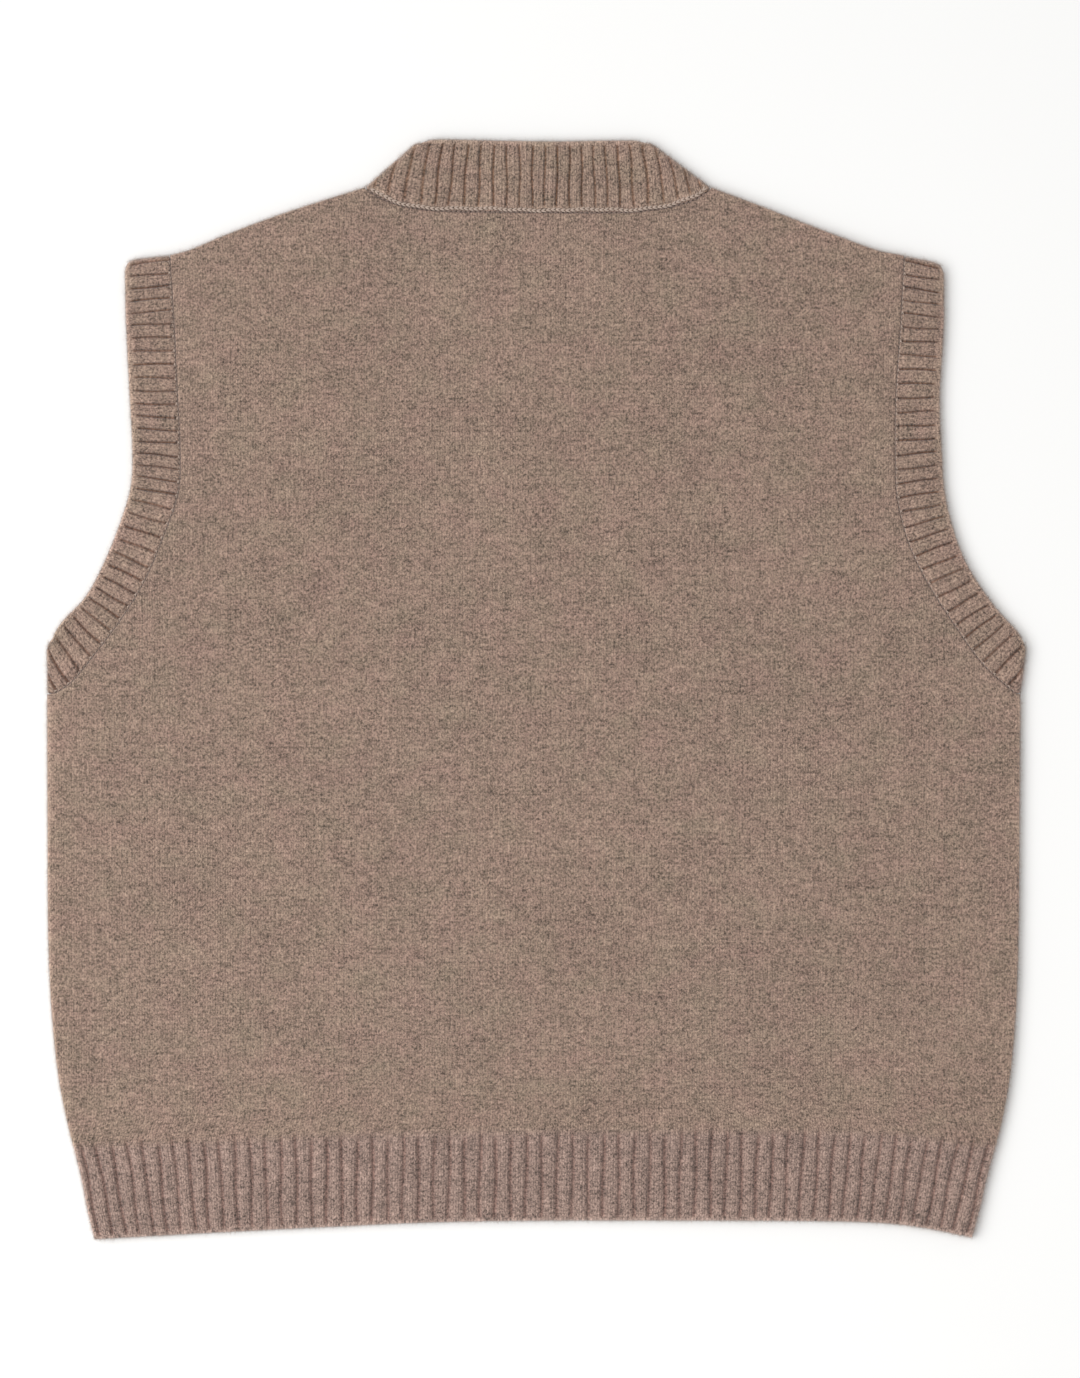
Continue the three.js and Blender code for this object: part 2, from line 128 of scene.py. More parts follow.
# Rib lines of each band, each from its end at the seam to its end at the free edge.
# A fold cuts across the last of them, so a line beyond a fold is only a guide.
LEFT_ARMHOLE_RIBS = table("rib seam_x seam_y edge_x edge_y", [
    (0, -203.2, 543.8, -228.0, 541.4),
    (5, -201.0, 509.0, -227.6, 507.4),
    (10, -199.2, 471.0, -225.9, 471.6),
    (15, -197.6, 434.8, -224.2, 437.0),
    (18, -199.0, 413.5, -225.2, 418.0),
    (21, -207.4, 389.2, -231.2, 397.6),
    (24, -217.6, 365.4, -240.0, 376.0),
    (27, -230.2, 345.2, -250.4, 357.4),
    (30, -246.4, 325.0, -264.4, 342.8),
    (32, -258.4, 311.6, -274.2, 330.2),
    (34, -272.6, 304.0, -287.0, 325.0),
])
RIGHT_ARMHOLE_RIBS = table("rib seam_x seam_y edge_x edge_y", [
    (0, 204.4, 543.4, 226.4, 539.6),
    (5, 202.4, 507.0, 226.4, 505.2),
    (10, 199.8, 467.4, 224.3, 467.6),
    (15, 199.6, 427.4, 225.8, 430.4),
    (17, 200.6, 411.8, 226.9, 416.0),
    (20, 206.6, 387.4, 231.6, 395.2),
    (23, 218.0, 363.8, 239.8, 374.4),
    (26, 232.8, 341.2, 254.0, 355.0),
    (29, 248.4, 320.8, 268.2, 341.0),
    (31, 262.4, 308.4, 279.0, 329.0),
    (33, 276.0, 298.0, 290.0, 320.0),
])
NECK_RIBS = table("rib seam_x seam_y edge_x edge_y", [
    (-1, -98.0, 584.0, -88.0, 611.0),
    (1, -82.1, 575.6, -74.4, 611.0),
    (3, -64.4, 572.2, -59.0, 611.2),
    (5, -48.8, 571.1, -44.6, 611.0),
    (9, -16.1, 570.6, -16.1, 610.3),
    (13, 11.4, 570.3, 12.2, 610.0),
    (17, 40.2, 570.3, 38.3, 610.4),
    (19, 54.1, 570.6, 52.7, 610.6),
    (21, 71.0, 572.8, 67.7, 610.8),
    (23, 87.7, 576.8, 73.8, 610.8),
    (25, 98.5, 583.0, 80.5, 610.8),
])

# Where each band folds under: the fold's ends at the seam and at the free edge,
# and the rib that it crosses at either end
FOLD_COLUMNS = "seam_x seam_y edge_x edge_y seam_rib edge_rib"
LEFT_ARMHOLE_FOLDS = table(FOLD_COLUMNS, [
    (-203.2, 543.8, -228.4, 541.2, 0, 0),
    (-268.8, 303.0, -269.2, 334.6, 33.4, 31.3),
])
RIGHT_ARMHOLE_FOLDS = table(FOLD_COLUMNS, [
    (204.4, 543.4, 226.6, 539.2, 0, 0),
    (266.4, 303.4, 270.6, 334.0, 31.7, 29.8),
])
NECK_FOLDS = table(FOLD_COLUMNS, [
    (-93.1, 582.3, -60.6, 611.0, -0.3, 2.7),
    (95.5, 582.1, 57.3, 610.6, 24.6, 19.8),
])

# The V of the front neck, down one arm from the fold to the point
NECK_MIDDLE = 1.2
V_ARM = table("step seam_out seam_y edge_out edge_y", [
    (0, 94.3, 582.1, 56.1, 610.6),
    (1, 91.4, 566.0, 56.6, 585.0),
    (2, 86.6, 545.0, 53.2, 558.6),
    (3, 66.2, 495.0, 32.8, 508.6),
    (4, 43.8, 440.0, 13.8, 457.0),
    (5, 21.4, 385.0, 5.2, 440.0),
    (6, 0, 333.0, 0, 428.4),
])

# Flat lengths that the panels are laid out on before they take the vest's outline, in mm,
# with the rows of points near the hem, closest where the ribs end
REST_WIDTH = 540.0
REST_HEIGHT = 585.0
RIB_SPAN = 54.0
HEM_ROWS = (2.7, 3.3, 4.1, 5, 6.2, 8, 12, 18, 26, 34, 41, 45, 47.5, 49.5, 51.2, 52.8, 54.4, 56, 58, 60)
FINE_BELOW = 61

# Shares of a panel's height and width, and of the cloth's thickness that a rolled edge comes down
UNDERARM_LEVEL = 0.45
FOLD_LEVEL = 0.01
NECK_COLUMNS = (8 / 30, 22 / 30)
ROLL_SHARE = 0.72

# Other lengths, in mm
BULGE_WIDTH = 9.0
VEST_MIDDLE = (0.0, 300.0)
HEM_PITCH = 8.15
ARMHOLE_WIDTH, NECK_WIDTH = 25.5, 39.6
CORNER_REACH, CORNER_DRAW = 4.0, 1.5
CHAIN_SLACK = 0.7
# Reach of the painted light on the free edges
RIM_LIGHT_REACH = 1.7
SEAM_INSET = 0.15
FIBRE_RADIUS = 0.045
COPY_STEP = 4.0

LINE_ENDS = ("seam_x", "seam_y", "edge_x", "edge_y")

# Painted shade in the grooves: what a groove keeps of the knit's red, green and blue
JERSEY_GROOVE_SHADE = (0.64, 0.55, 0.54)
ARMHOLE_GROOVE_SHADE = (0.43, 0.32, 0.27)
NECK_GROOVE_SHADE = (0.62, 0.48, 0.38)
JERSEY_STREAK, BAND_STREAK = 0.4, 0.25
HEM_COURSES = 18.0

# Seeds of the random draws
HEM_END_SEED, HEM_DEPTH_SEED, WAVE_SEED, NAP_SEED = 11, 7, 5, 21


def linear(hex_colour):
    """Linear RGBA of an sRGB hex colour."""
    parts = [int(hex_colour[i:i + 2], 16) / 255 for i in (0, 2, 4)]
    return [c / 12.92 if c <= 0.04045 else ((c + 0.055) / 1.055) ** 2.4 for c in parts] + [1.0]


class VestSizes(bpy.types.PropertyGroup):
    cloth: bpy.props.FloatProperty(
        name="Cloth", description="Thickness of one knitted layer, in mm", default=2.6, min=1)
    gap: bpy.props.FloatProperty(
        name="Layer gap", description="Air between front and back, in mm", default=0.3, min=0.1)
    ridge: bpy.props.FloatProperty(
        name="Ridge rise", description="Height of a rib over the plain knit, in mm", default=0.45)
    groove: bpy.props.FloatProperty(
        name="Groove depth", description="Depth of a groove under the plain knit, in mm", default=1.0)
    hem_groove: bpy.props.FloatProperty(
        name="Hem groove", description="Width of the sunk wale between two hem ribs, in mm", default=2.6)
    band_groove: bpy.props.FloatProperty(
        name="Band groove", description="Width of the sunk wale between two band ribs, in mm", default=1.5)
    hem_ribs: bpy.props.IntProperty(
        name="Hem ribs", description="Ribs across the back hem", default=60, min=4)
    wale: bpy.props.FloatProperty(
        name="Wale", description="Width of one stitch, in mm", default=2.8, min=0.5)
    course: bpy.props.FloatProperty(
        name="Course", description="Height of one stitch, in mm", default=2.66, min=0.5)
    edge_round: bpy.props.FloatProperty(
        name="Edge round", description="Width over which an edge rolls down, in mm", default=2.2)
    wave: bpy.props.FloatProperty(
        name="Wave", description="Height of the soft unevenness of the back, in mm", default=0.55)


class VestColours(bpy.types.PropertyGroup):
    jersey: bpy.props.FloatVectorProperty(
        name="Jersey", description="Middle tone of the plain knit", subtype="COLOR", size=4,
        default=linear("917b6d"))
    armhole: bpy.props.FloatVectorProperty(
        name="Armhole bands", description="Middle tone of the armhole bands", subtype="COLOR", size=4,
        default=linear("967f71"))
    neck: bpy.props.FloatVectorProperty(
        name="Neckband", description="Middle tone of the neckband", subtype="COLOR", size=4,
        default=linear("957f71"))
    linking: bpy.props.FloatVectorProperty(
        name="Linking", description="Yarn of the linking chain", subtype="COLOR", size=4,
        default=linear("b6a396"))
    seam: bpy.props.FloatVectorProperty(
        name="Seam loops", description="Yarn down in the seams", subtype="COLOR", size=4,
        default=linear("85736a"))
    floor: bpy.props.FloatVectorProperty(
        name="Floor", description="Pale surface under the vest", subtype="COLOR", size=4,
        default=linear("f9f9f8"))


class VestStudio(bpy.types.PropertyGroup):
    lens: bpy.props.FloatProperty(
        name="Lens", description="Focal length of the camera, in mm", default=100, min=1)
    view_height: bpy.props.FloatProperty(
        name="View height", description="Height of the photo's view", default=0.7648,
        unit="LENGTH")
    view_x: bpy.props.FloatProperty(
        name="View X", description="Middle of the view, across", default=0.0018, unit="LENGTH")
    view_y: bpy.props.FloatProperty(
        name="View Y", description="Middle of the view, up the vest", default=0.0002, unit="LENGTH")
    key: bpy.props.FloatProperty(
        name="Key", description="Strength of the broad light from the upper left", default=1.05)
    key_angle: bpy.props.FloatProperty(
        name="Key angle", description="Breadth of that light as the vest sees it",
        default=math.radians(50), subtype="ANGLE")
    side: bpy.props.FloatProperty(
        name="Side light", description="Power of the soft box at the left, in W", default=12.3)
    side_size: bpy.props.FloatProperty(
        name="Soft box", description="Width of that soft box", default=1.1, unit="LENGTH")
    sky: bpy.props.FloatProperty(
        name="Sky", description="Strength of the even light from all round", default=0.62)


def sizes():
    return bpy.context.scene.vest_sizes


def colours():
    return bpy.context.scene.vest_colours


def inside():
    """Height of a layer's inner face over the middle between the layers."""
    return sizes().gap / 2


def outside():
    return sizes().gap / 2 + sizes().cloth


def mix(a, b, t):
    return a + (b - a) * t


def smooth(low, high, x):
    t = np.clip((x - low) / (high - low), 0, 1)
    return t * t * (3 - 2 * t)


def column_at(rows, key, column, at):
    """Smooth value of one column of a table between its rows, for an array of keys."""
    keys, values = rows[key], rows[column]
    at = np.asarray(at, float)
    i = np.clip(np.searchsorted(keys, at, side="left") - 1, 0, len(keys) - 2)
    before, after = np.maximum(i - 1, 0), np.minimum(i + 2, len(keys) - 1)
    span = keys[i + 1] - keys[i]
    slope_in = (values[i + 1] - values[before]) / (keys[i + 1] - keys[before]) * span
    slope_out = (values[after] - values[i]) / (keys[after] - keys[i]) * span
    t = (at - keys[i]) / span
    start = (1 + 2 * t) * (1 - t) ** 2 * values[i] + t * (1 - t) ** 2 * slope_in
    return start + t * t * (3 - 2 * t) * values[i + 1] - t * t * (1 - t) * slope_out


def line_through(points, levels):
    """Function that reads a line of points at a share of its length."""
    points = np.array(points, float)
    return lambda at: np.stack([np.interp(at, levels, points[:, axis]) for axis in (0, 1)], -1)


class Band:
    """A ribbed band: a closed ring of knit, folded flat at both ends of its upper half."""

    def __init__(self, name, ribs, folds, ribs_round, pull_share, edge_turn, v_neck=False):
        """The ribs bend to the folds over the pull share, and a fold's end turns along the free edge."""
        self.name = name
        self.pull_share = pull_share
        self.edge_turn = edge_turn
        self.ribs = ribs
        self.ribs_round = ribs_round
        self.v_neck = v_neck
        self.first, self.last = ({column: values[i] for column, values in folds.items()} for i in (0, 1))
        middle = (self.first["seam_rib"] + self.last["seam_rib"]) / 2
        self.middle = self.rib_point(middle, 0.0)

    def rib_point(self, rib, across):
        """Point of a rib line, 0 at the seam and 1 at the free edge."""
        seam_x, seam_y, edge_x, edge_y = (column_at(self.ribs, "rib", name, rib) for name in LINE_ENDS)
        return np.stack([mix(seam_x, edge_x, across), mix(seam_y, edge_y, across)], -1)

    def fold_point(self, fold, across):
        seam_x, seam_y, edge_x, edge_y = (fold[name] for name in LINE_ENDS)
        return np.stack([mix(seam_x, edge_x, across), mix(seam_y, edge_y, across)], -1)

    def fold_rib(self, fold, across):
        return mix(fold["seam_rib"], fold["edge_rib"], across)

    def fold_out(self, fold, across):
        """Sideways direction in which a fold bulges, which turns along the free edge at its end."""
        along = np.array([fold["edge_x"] - fold["seam_x"], fold["edge_y"] - fold["seam_y"]])
        out = np.array([along[1], -along[0]]) / np.hypot(*along)
        reach = np.array([fold["seam_x"], fold["seam_y"]]) - self.middle
        out = out * np.sign(out @ reach)
        inner_rib = fold["edge_rib"] + (2 if fold is self.first else -2)
        tangent = self.fold_point(fold, 1.0) - self.rib_point(inner_rib, 1.0)
        tangent = tangent / np.hypot(*tangent)
        turned = mix(out, tangent, (smooth(0.85, 1, np.asarray(across, float)) * self.edge_turn)[..., None])
        return turned / np.linalg.norm(turned, axis=-1, keepdims=True)

    def upper(self, share, across):
        """Point and rib number on the upper half, from the first fold at 0 to the last at 1."""
        rib = mix(self.fold_rib(self.first, across), self.fold_rib(self.last, across), share)
        point = self.rib_point(rib, across)
        for fold, near in ((self.first, 1 - share), (self.last, share)):
            pull = smooth(1 - self.pull_share, 1, near)[..., None]
            rib_end = self.rib_point(self.fold_rib(fold, across), across)
            point = point + pull * (self.fold_point(fold, across) - rib_end)
        return point, rib

    def lower(self, share, across):
        """Point and rib number on the lower half, from the last fold at 0 to the first at 1."""
        end = self.fold_rib(self.first, across) + self.ribs_round - 1
        rib = mix(self.fold_rib(self.last, across) + 1, end, share)
        if not self.v_neck:
            return self.upper(1 - share, across)[0], rib
        side = np.where(share < 0.5, 1, -1)
        step = V_ARM["step"][-1] * (1 - np.abs(2 * share - 1))
        seam_out, seam_y, edge_out, edge_y = (
            column_at(V_ARM, "step", name, step) for name in ("seam_out", "seam_y", "edge_out", "edge_y")
        )
        out = mix(seam_out, edge_out, across)
        point = np.stack([NECK_MIDDLE + side * out, mix(seam_y, edge_y, across)], -1)
        left_pull = smooth(0.93, 1, share)[..., None]
        last_row = np.stack([
            NECK_MIDDLE - mix(V_ARM["seam_out"][0], V_ARM["edge_out"][0], across),
            mix(V_ARM["seam_y"][0], V_ARM["edge_y"][0], across),
        ], -1)
        point = point + left_pull * (self.fold_point(self.first, across) - last_row)
        return point, rib

    def round_corners(self, points):
        """Draws the free corner at each fold in, as soft cloth rounds it."""
        for fold in (self.first, self.last):
            corner = self.fold_point(fold, 1.0) + self.fold_out(fold, 1.0) * outside()
            inner_rib = fold["seam_rib"] + (2 if fold is self.first else -2)
            inwards = self.rib_point(inner_rib, 0.4) - corner
            near = np.exp(-np.sum((points - corner) ** 2, axis=-1) / CORNER_REACH ** 2)
            points = points + (near * CORNER_DRAW)[..., None] * inwards / np.hypot(*inwards)
        return points

    def seam_corner(self, fold):
        """Corner of a panel beside a fold, level with the outside of that fold."""
        return self.fold_point(fold, self.panel_side(fold)) + self.fold_out(fold, 0.0) * outside()

    def panel_side(self, fold):
        length = math.hypot(fold["edge_x"] - fold["seam_x"], fold["edge_y"] - fold["seam_y"])
        return -sizes().gap / 2 / length

    def seam_line(self, steps):
        """Seam as the panel sees it, from the first fold to the last."""
        share = np.linspace(0, 1, steps)
        across = np.full(steps, self.panel_side(self.last))
        return self.upper(share, across)[0]

    def lower_seam_line(self, steps):
        """Seam as the front panel sees it, from the last fold to the first."""
        share = np.linspace(0, 1, steps)
        across = np.full(steps, self.panel_side(self.last))
        return self.lower(share, across)[0]


def left_armhole():
    return Band("armhole_band_left", LEFT_ARMHOLE_RIBS, LEFT_ARMHOLE_FOLDS, 66, 0.25, 0.4)


def right_armhole():
    return Band("armhole_band_right", RIGHT_ARMHOLE_RIBS, RIGHT_ARMHOLE_FOLDS, 62, 0.25, 0.4)


def neck():
    return Band("neck_band", NECK_RIBS, NECK_FOLDS, 94, 0.15, 1.0, v_neck=True)


def place():
    """Shift from the tables' origin to the frame's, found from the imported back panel."""
    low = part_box("back")[0]
    corner = left_armhole().seam_corner(left_armhole().last)
    return np.array([low[0] / MM - corner[0], low[1] / MM, 0.0])


# Panels


def coons(bottom, top, left, right, u, v):
    """Points of a patch bounded by four lines."""
    u, v = u[:, None], v[:, None]
    corner = [f(np.array([at]))[0] for f, at in ((bottom, 0.0), (bottom, 1.0), (top, 0.0), (top, 1.0))]
    upright = mix(bottom(u[:, 0]), top(u[:, 0]), v)
    level = mix(left(v[:, 0]), right(v[:, 0]), u)
    flat = mix(mix(corner[0], corner[1], u), mix(corner[2], corner[3], u), v)
    return upright + level - flat


def side_line(band, column, rib_top):
    """One side of a panel above its ribs, by its share of the height, and how far it bulges.

    The side meets the start of the armhole seam, and the bulge carries it out to the fold.
    """
    corner = band.seam_corner(band.last)
    armhole = band.seam_line(120)[::-1]
    heights = np.linspace(rib_top, corner[1], 60)
    reach = (corner[0] - armhole[0][0]) * smooth(0.2, 1, np.linspace(0, 1, 60))
    side = np.stack([column_at(SIDE_SEAM, "y", column, heights) - reach, heights], -1)
    levels = np.concatenate([
        np.linspace(0, UNDERARM_LEVEL, 60), np.linspace(UNDERARM_LEVEL, 1 - FOLD_LEVEL, 120)[1:], [1],
    ])
    line = line_through([*side, *armhole[1:], band.seam_corner(band.first)], levels)

    def bulge(at):
        return np.interp(at, levels[:60], reach) * (at < UNDERARM_LEVEL + 1e-5)

    return line, bulge


def top_line(band, seam, left_tip, right_tip):
    """Top of a panel: left shoulder, neck seam and right shoulder, by its share of the width."""
    left_corner = band.seam_corner(band.first)
    right_corner = band.seam_corner(band.last)
    low, high = NECK_COLUMNS
    step = (high - low) / 14

    def shoulder(start, end, rows):
        xs = np.linspace(start[0], end[0], 40)[1:-1]
        return [start, *[(x, column_at(rows, "x", "y", x)) for x in xs], end]

    points = [
        *shoulder(left_tip, left_corner, SHOULDER_LEFT),
        *seam,
        *shoulder(right_corner, right_tip, SHOULDER_RIGHT),
    ]
    levels = np.concatenate([
        np.linspace(0, low, 40), np.linspace(low + step, high - step, len(seam)), np.linspace(high, 1, 40),
    ])
    return line_through(points, levels)


def panel_outline(front):
    """Functions for the rib zone and the body of a panel, from shares to points."""
    arm_left, arm_right, neck_band = left_armhole(), right_armhole(), neck()
    left, left_bulge = side_line(arm_left, "left", RIB_TOP["y"][0])
    right, right_bulge = side_line(arm_right, "right", RIB_TOP["y"][-1])
    seam = neck_band.lower_seam_line(120)[::-1] if front else neck_band.seam_line(80)
    tips = [band.seam_corner(band.first) for band in (arm_left, arm_right)]
    top = top_line(neck_band, seam, *tips)
    start, end = left(np.array([0.0]))[0], right(np.array([0.0]))[0]

    def hem(u):
        """Lower edge, where the ribs stand upright in the middle and lean in near the sides."""
        low, high = HEM_EDGE["x"][0], HEM_EDGE["x"][-1]
        aside = 2 * u - 1
        drawn_in = (end[0] - start[0] - high + low) / 2
        x = mix(low, high, u) + drawn_in * (aside - aside ** 3)
        return np.stack([x, column_at(HEM_EDGE, "x", "y", x)], -1)

    def rib_top(u):
        x = mix(start[0], end[0], u)
        return np.stack([x, column_at(RIB_TOP, "x", "y", x)], -1)

    def low_side(column, low, high):
        def line(v):
            y = mix(low, high, v)
            return np.stack([column_at(SIDE_SEAM, "y", column, y), y], -1)
        return line

    low_left = low_side("left", HEM_EDGE["y"][0], start[1])
    low_right = low_side("right", HEM_EDGE["y"][-1], end[1])

    def ribs(u, v):
        return coons(hem, rib_top, low_left, low_right, u, v)

    def body(u, v):
        points = coons(rib_top, top, left, right, u, v)
        points[:, 0] += left_bulge(v) * np.exp(-u * REST_WIDTH / BULGE_WIDTH)
        points[:, 0] += right_bulge(v) * np.exp(-(1 - u) * REST_WIDTH / BULGE_WIDTH)
        return points

    return ribs, body


def rest_grid(columns, rows, fine_below, cuts):
    """Flat grid on given lines, with its lower part cut finer across for the ribs."""
    bm = bmesh.new()
    bmesh.ops.create_grid(bm, x_segments=len(columns) - 1, y_segments=len(rows) - 1, size=0.5)
    for vert in bm.verts:
        column = round((vert.co.x + 0.5) * (len(columns) - 1))
        row = round((vert.co.y + 0.5) * (len(rows) - 1))
        vert.co = (columns[column], rows[row], outside())
    level_edges = [
        edge for edge in bm.edges
        if abs(edge.verts[0].co.y - edge.verts[1].co.y) < 1e-4 and edge.verts[0].co.y < fine_below
    ]
    bmesh.ops.subdivide_edges(bm, edges=level_edges, cuts=cuts)
    return bm


def roll_edges(bm, steps):
    """Rolls the border of a flat grid down and out, as a knitted edge does, to the inner face."""
    size = sizes()
    span = Vector((REST_WIDTH / 2, REST_HEIGHT / 2))
    centre = Matrix.Translation((-span.x, -span.y, 0))
    reach, height = size.edge_round, outside()
    drop = size.cloth * ROLL_SHARE
    profile = [(size.edge_round * (1 - math.sin(t)), outside() - drop * (1 - math.cos(t)))
               for t in (math.pi / 2 * (i + 1) / steps for i in range(steps))]
    profile.append((0, inside()))
    for inset, level in profile:
        border = [edge for edge in bm.edges if edge.is_boundary]
        made = bmesh.ops.extrude_edge_only(bm, edges=border)["geom"]
        verts = [item for item in made if isinstance(item, bmesh.types.BMVert)]
        factor = [(half - inset) / (half - reach) for half in span]
        bmesh.ops.scale(bm, vec=(*factor, 1), space=centre, verts=verts)
        bmesh.ops.translate(bm, vec=(0, 0, level - height), verts=verts)
        reach, height = inset, level


def rib_relief(phase, pitch, width, window, strength):
    """Height over the plain knit, and the painted shade of each point (deepest in a groove), from its rib
    number.
    """
    size = sizes()
    away = np.abs(phase - np.round(phase)) * pitch
    groove = np.exp(-(away / (width * 0.5)) ** 2.2) * strength
    ridge = 1 - groove
    crown = 0.72 + 0.28 * np.cos(np.pi * np.clip(away / (pitch / 2), 0, 1) - np.pi)
    valley = np.cos(2 * np.pi * away / (pitch / 3.0))
    height = ridge * (size.ridge * crown - 0.12 * valley) - groove * size.groove
    # Painted shade: full in a groove, and a little between the wales on a ridge
    painted_shade = groove + 0.14 * ridge * np.maximum(valley, 0)
    return height * window, painted_shade * window


def per_rib(rib, ribs_round, seed, low, high):
    """A steady random value for the groove nearest to each point."""
    draw = np.random.default_rng(seed).uniform(low, high, ribs_round)
    return draw[np.round(rib).astype(int) % ribs_round]


def soft_wave(x, y, seed):
    """Soft long unevenness of laid cloth, about -1 to 1."""
    rng = np.random.default_rng(seed)
    total = np.zeros_like(x)
    for wavelength in (330, 230, 170, 120, 85):
        angle = rng.uniform(0, math.pi)
        phase = rng.uniform(0, 2 * math.pi)
        along = (x * math.cos(angle) + y * math.sin(angle)) * 2 * math.pi / wavelength
        total += np.sin(along + phase + 0.6 * np.sin(y / 70 + phase)) * wavelength / 330
    return total / 2


def mesh_of(name, bm):
    mesh = bpy.data.meshes.new(name)
    bm.to_mesh(mesh)
    bm.free()
    return mesh


def turn_out(bm, mesh):
    """Turns every face outwards, shades it smooth and puts the shape back on its mesh."""
    bmesh.ops.recalc_face_normals(bm, faces=bm.faces)
    for face in bm.faces:
        face.smooth = True
    bm.to_mesh(mesh)
    bm.free()


def linked(name, data):
    """Object for a mesh, lamp or camera, in the scene's own collection."""
    made = bpy.data.objects.new(name, data)
    bpy.context.scene.collection.objects.link(made)
    return made


def read_points(mesh):
    points = np.empty(len(mesh.vertices) * 3)
    mesh.vertices.foreach_get("co", points)
    return points.reshape(-1, 3)


def write_piece(mesh, points, wales, courses, painted_shade, nap):
    """Puts the worked-out points, stitch map, painted groove shade and painted edge light on a mesh."""
    mesh.vertices.foreach_set("co", (np.asarray(points) * MM).ravel())
    corner_vertex = np.empty(len(mesh.loops), np.int32)
    mesh.loops.foreach_get("vertex_index", corner_vertex)
    stitches = mesh.uv_layers.new(name="stitches")
    pairs = np.stack([wales, courses], -1)[corner_vertex]
    stitches.data.foreach_set("uv", pairs.ravel())
    for name, values in (("painted_shade", painted_shade), ("nap", nap)):
        layer = mesh.attributes.new(name, "FLOAT", "POINT")
        layer.data.foreach_set("value", np.asarray(values, float))
    mesh.update()


def close_inner_face(mesh, facing):
    """Fills the plain inner face."""
    bm = bmesh.new()
    bm.from_mesh(mesh)
    border = [edge for edge in bm.edges if edge.is_boundary]
    bmesh.ops.triangle_fill(bm, use_beauty=True, edges=border, normal=(0, 0, facing))
    turn_out(bm, mesh)


def cloth_object(name, mesh, material, node):
    """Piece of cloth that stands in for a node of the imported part."""
    piece = linked(name, mesh)
    mesh.materials.append(material)
    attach(piece, BODY)
    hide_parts(node)
    return piece


def build_panel(name, node, front, material):
    """Front or back: plain knit with its ribbed hem in one, as a closed shell."""
    size = sizes()
    ribs_at, body_at = panel_outline(front)
    inset = size.edge_round
    columns = np.linspace(inset, REST_WIDTH - inset, size.hem_ribs * 2 + 1)
    underarm = mix(RIB_SPAN, REST_HEIGHT, UNDERARM_LEVEL)
    body_rows = np.linspace(64, REST_HEIGHT - inset, 116)
    rows = np.sort([inset, *HEM_ROWS, *body_rows, underarm, underarm + 0.7])
    bm = rest_grid(columns, rows, FINE_BELOW, 5 if front else 9)
    roll_edges(bm, 5)
    mesh = mesh_of(name, bm)

    rest = read_points(mesh)
    u, high, level = rest[:, 0] / REST_WIDTH, rest[:, 1], rest[:, 2]
    low_v = high / RIB_SPAN
    body_v = (high - RIB_SPAN) / (REST_HEIGHT - RIB_SPAN)
    in_ribs = (high < RIB_SPAN)[:, None]
    flat = np.where(in_ribs, ribs_at(u, np.clip(low_v, 0, 1)), body_at(u, np.clip(body_v, 0, 1)))

    in_from_side = np.minimum(u, 1 - u) * REST_WIDTH
    in_from_top = REST_HEIGHT - high
    at_armhole = smooth(0, 0.02, body_v - UNDERARM_LEVEL) * (in_from_side <= inset + 0.1)
    at_neck = (u > NECK_COLUMNS[0]) * (u < NECK_COLUMNS[1]) * (in_from_top <= inset + 0.1)
    top_face = level > inside() + 0.01
    sunk = 1 - 0.55 * np.maximum(at_armhole, at_neck)
    level = np.where(top_face, outside() - (outside() - level) * sunk, level)

    phase = u * size.hem_ribs - 0.5
    ragged = per_rib(phase, size.hem_ribs, HEM_END_SEED, -1.8, 1.8)
    window = smooth(1.2, 3.4, high) * (1 - smooth(47.5, 55, high + ragged)) * smooth(0.6, 2.4, in_from_side)
    drift = 0.05 * np.sin(high / 9 + np.round(phase) * 2.4)
    strength = per_rib(phase, size.hem_ribs, HEM_DEPTH_SEED, 0.76, 0.96)
    relief, painted_shade = rib_relief(phase + drift, HEM_PITCH, size.hem_groove, window, strength)
    wave = soft_wave(flat[:, 0], flat[:, 1], WAVE_SEED) * size.wave
    calm = smooth(0, 22, in_from_side) * smooth(0, 25, high) * smooth(0, 22, in_from_top)
    middle = outside()
    if front:
        height = middle - level - np.where(top_face, np.minimum(relief - size.ridge * window, 0), 0)
    else:
        height = middle + level + np.where(top_face, relief + wave * calm, 0)

    hem_wales = u * size.hem_ribs * 3
    plain_wales = size.hem_ribs * 1.5 + flat[:, 0] / size.wale
    wales = mix(hem_wales, plain_wales, smooth(48, 66, high))
    lift = column_at(HEM_EDGE, "x", "y", np.clip(flat[:, 0], -245, 242)) * (1 - smooth(0, 170, high))
    courses = (flat[:, 1] - lift + outside() - level) / size.course
    # Painted shade along the panel's armhole and neck seams, added to the painted groove shade
    armhole_seam_shade = 0.3 * np.exp(-(in_from_side / 0.9) ** 2) * smooth(0, 0.02, body_v - UNDERARM_LEVEL)
    in_neck = smooth(0, 0.05, u - NECK_COLUMNS[0]) * smooth(0, 0.05, NECK_COLUMNS[1] - u)
    neck_seam_shade = 0.7 * np.exp(-(in_from_top / 1.3) ** 2) * in_neck
    points = np.concatenate([flat, height[:, None]], 1) + place()
    # Painted light on the free edges, where the nap catches light
    open_side = in_from_side + 50 * (body_v > UNDERARM_LEVEL)
    open_top = in_from_top + 50 * (u > NECK_COLUMNS[0]) * (u < NECK_COLUMNS[1])
    nap = np.exp(-(np.minimum(np.minimum(open_side, open_top), high) / RIM_LIGHT_REACH) ** 2)
    write_piece(mesh, points, wales, courses, np.clip(painted_shade + armhole_seam_shade + neck_seam_shade, 0, 1), nap)
    close_inner_face(mesh, 1 if front else -1)
    return cloth_object(name, mesh, material, node)


# Bands


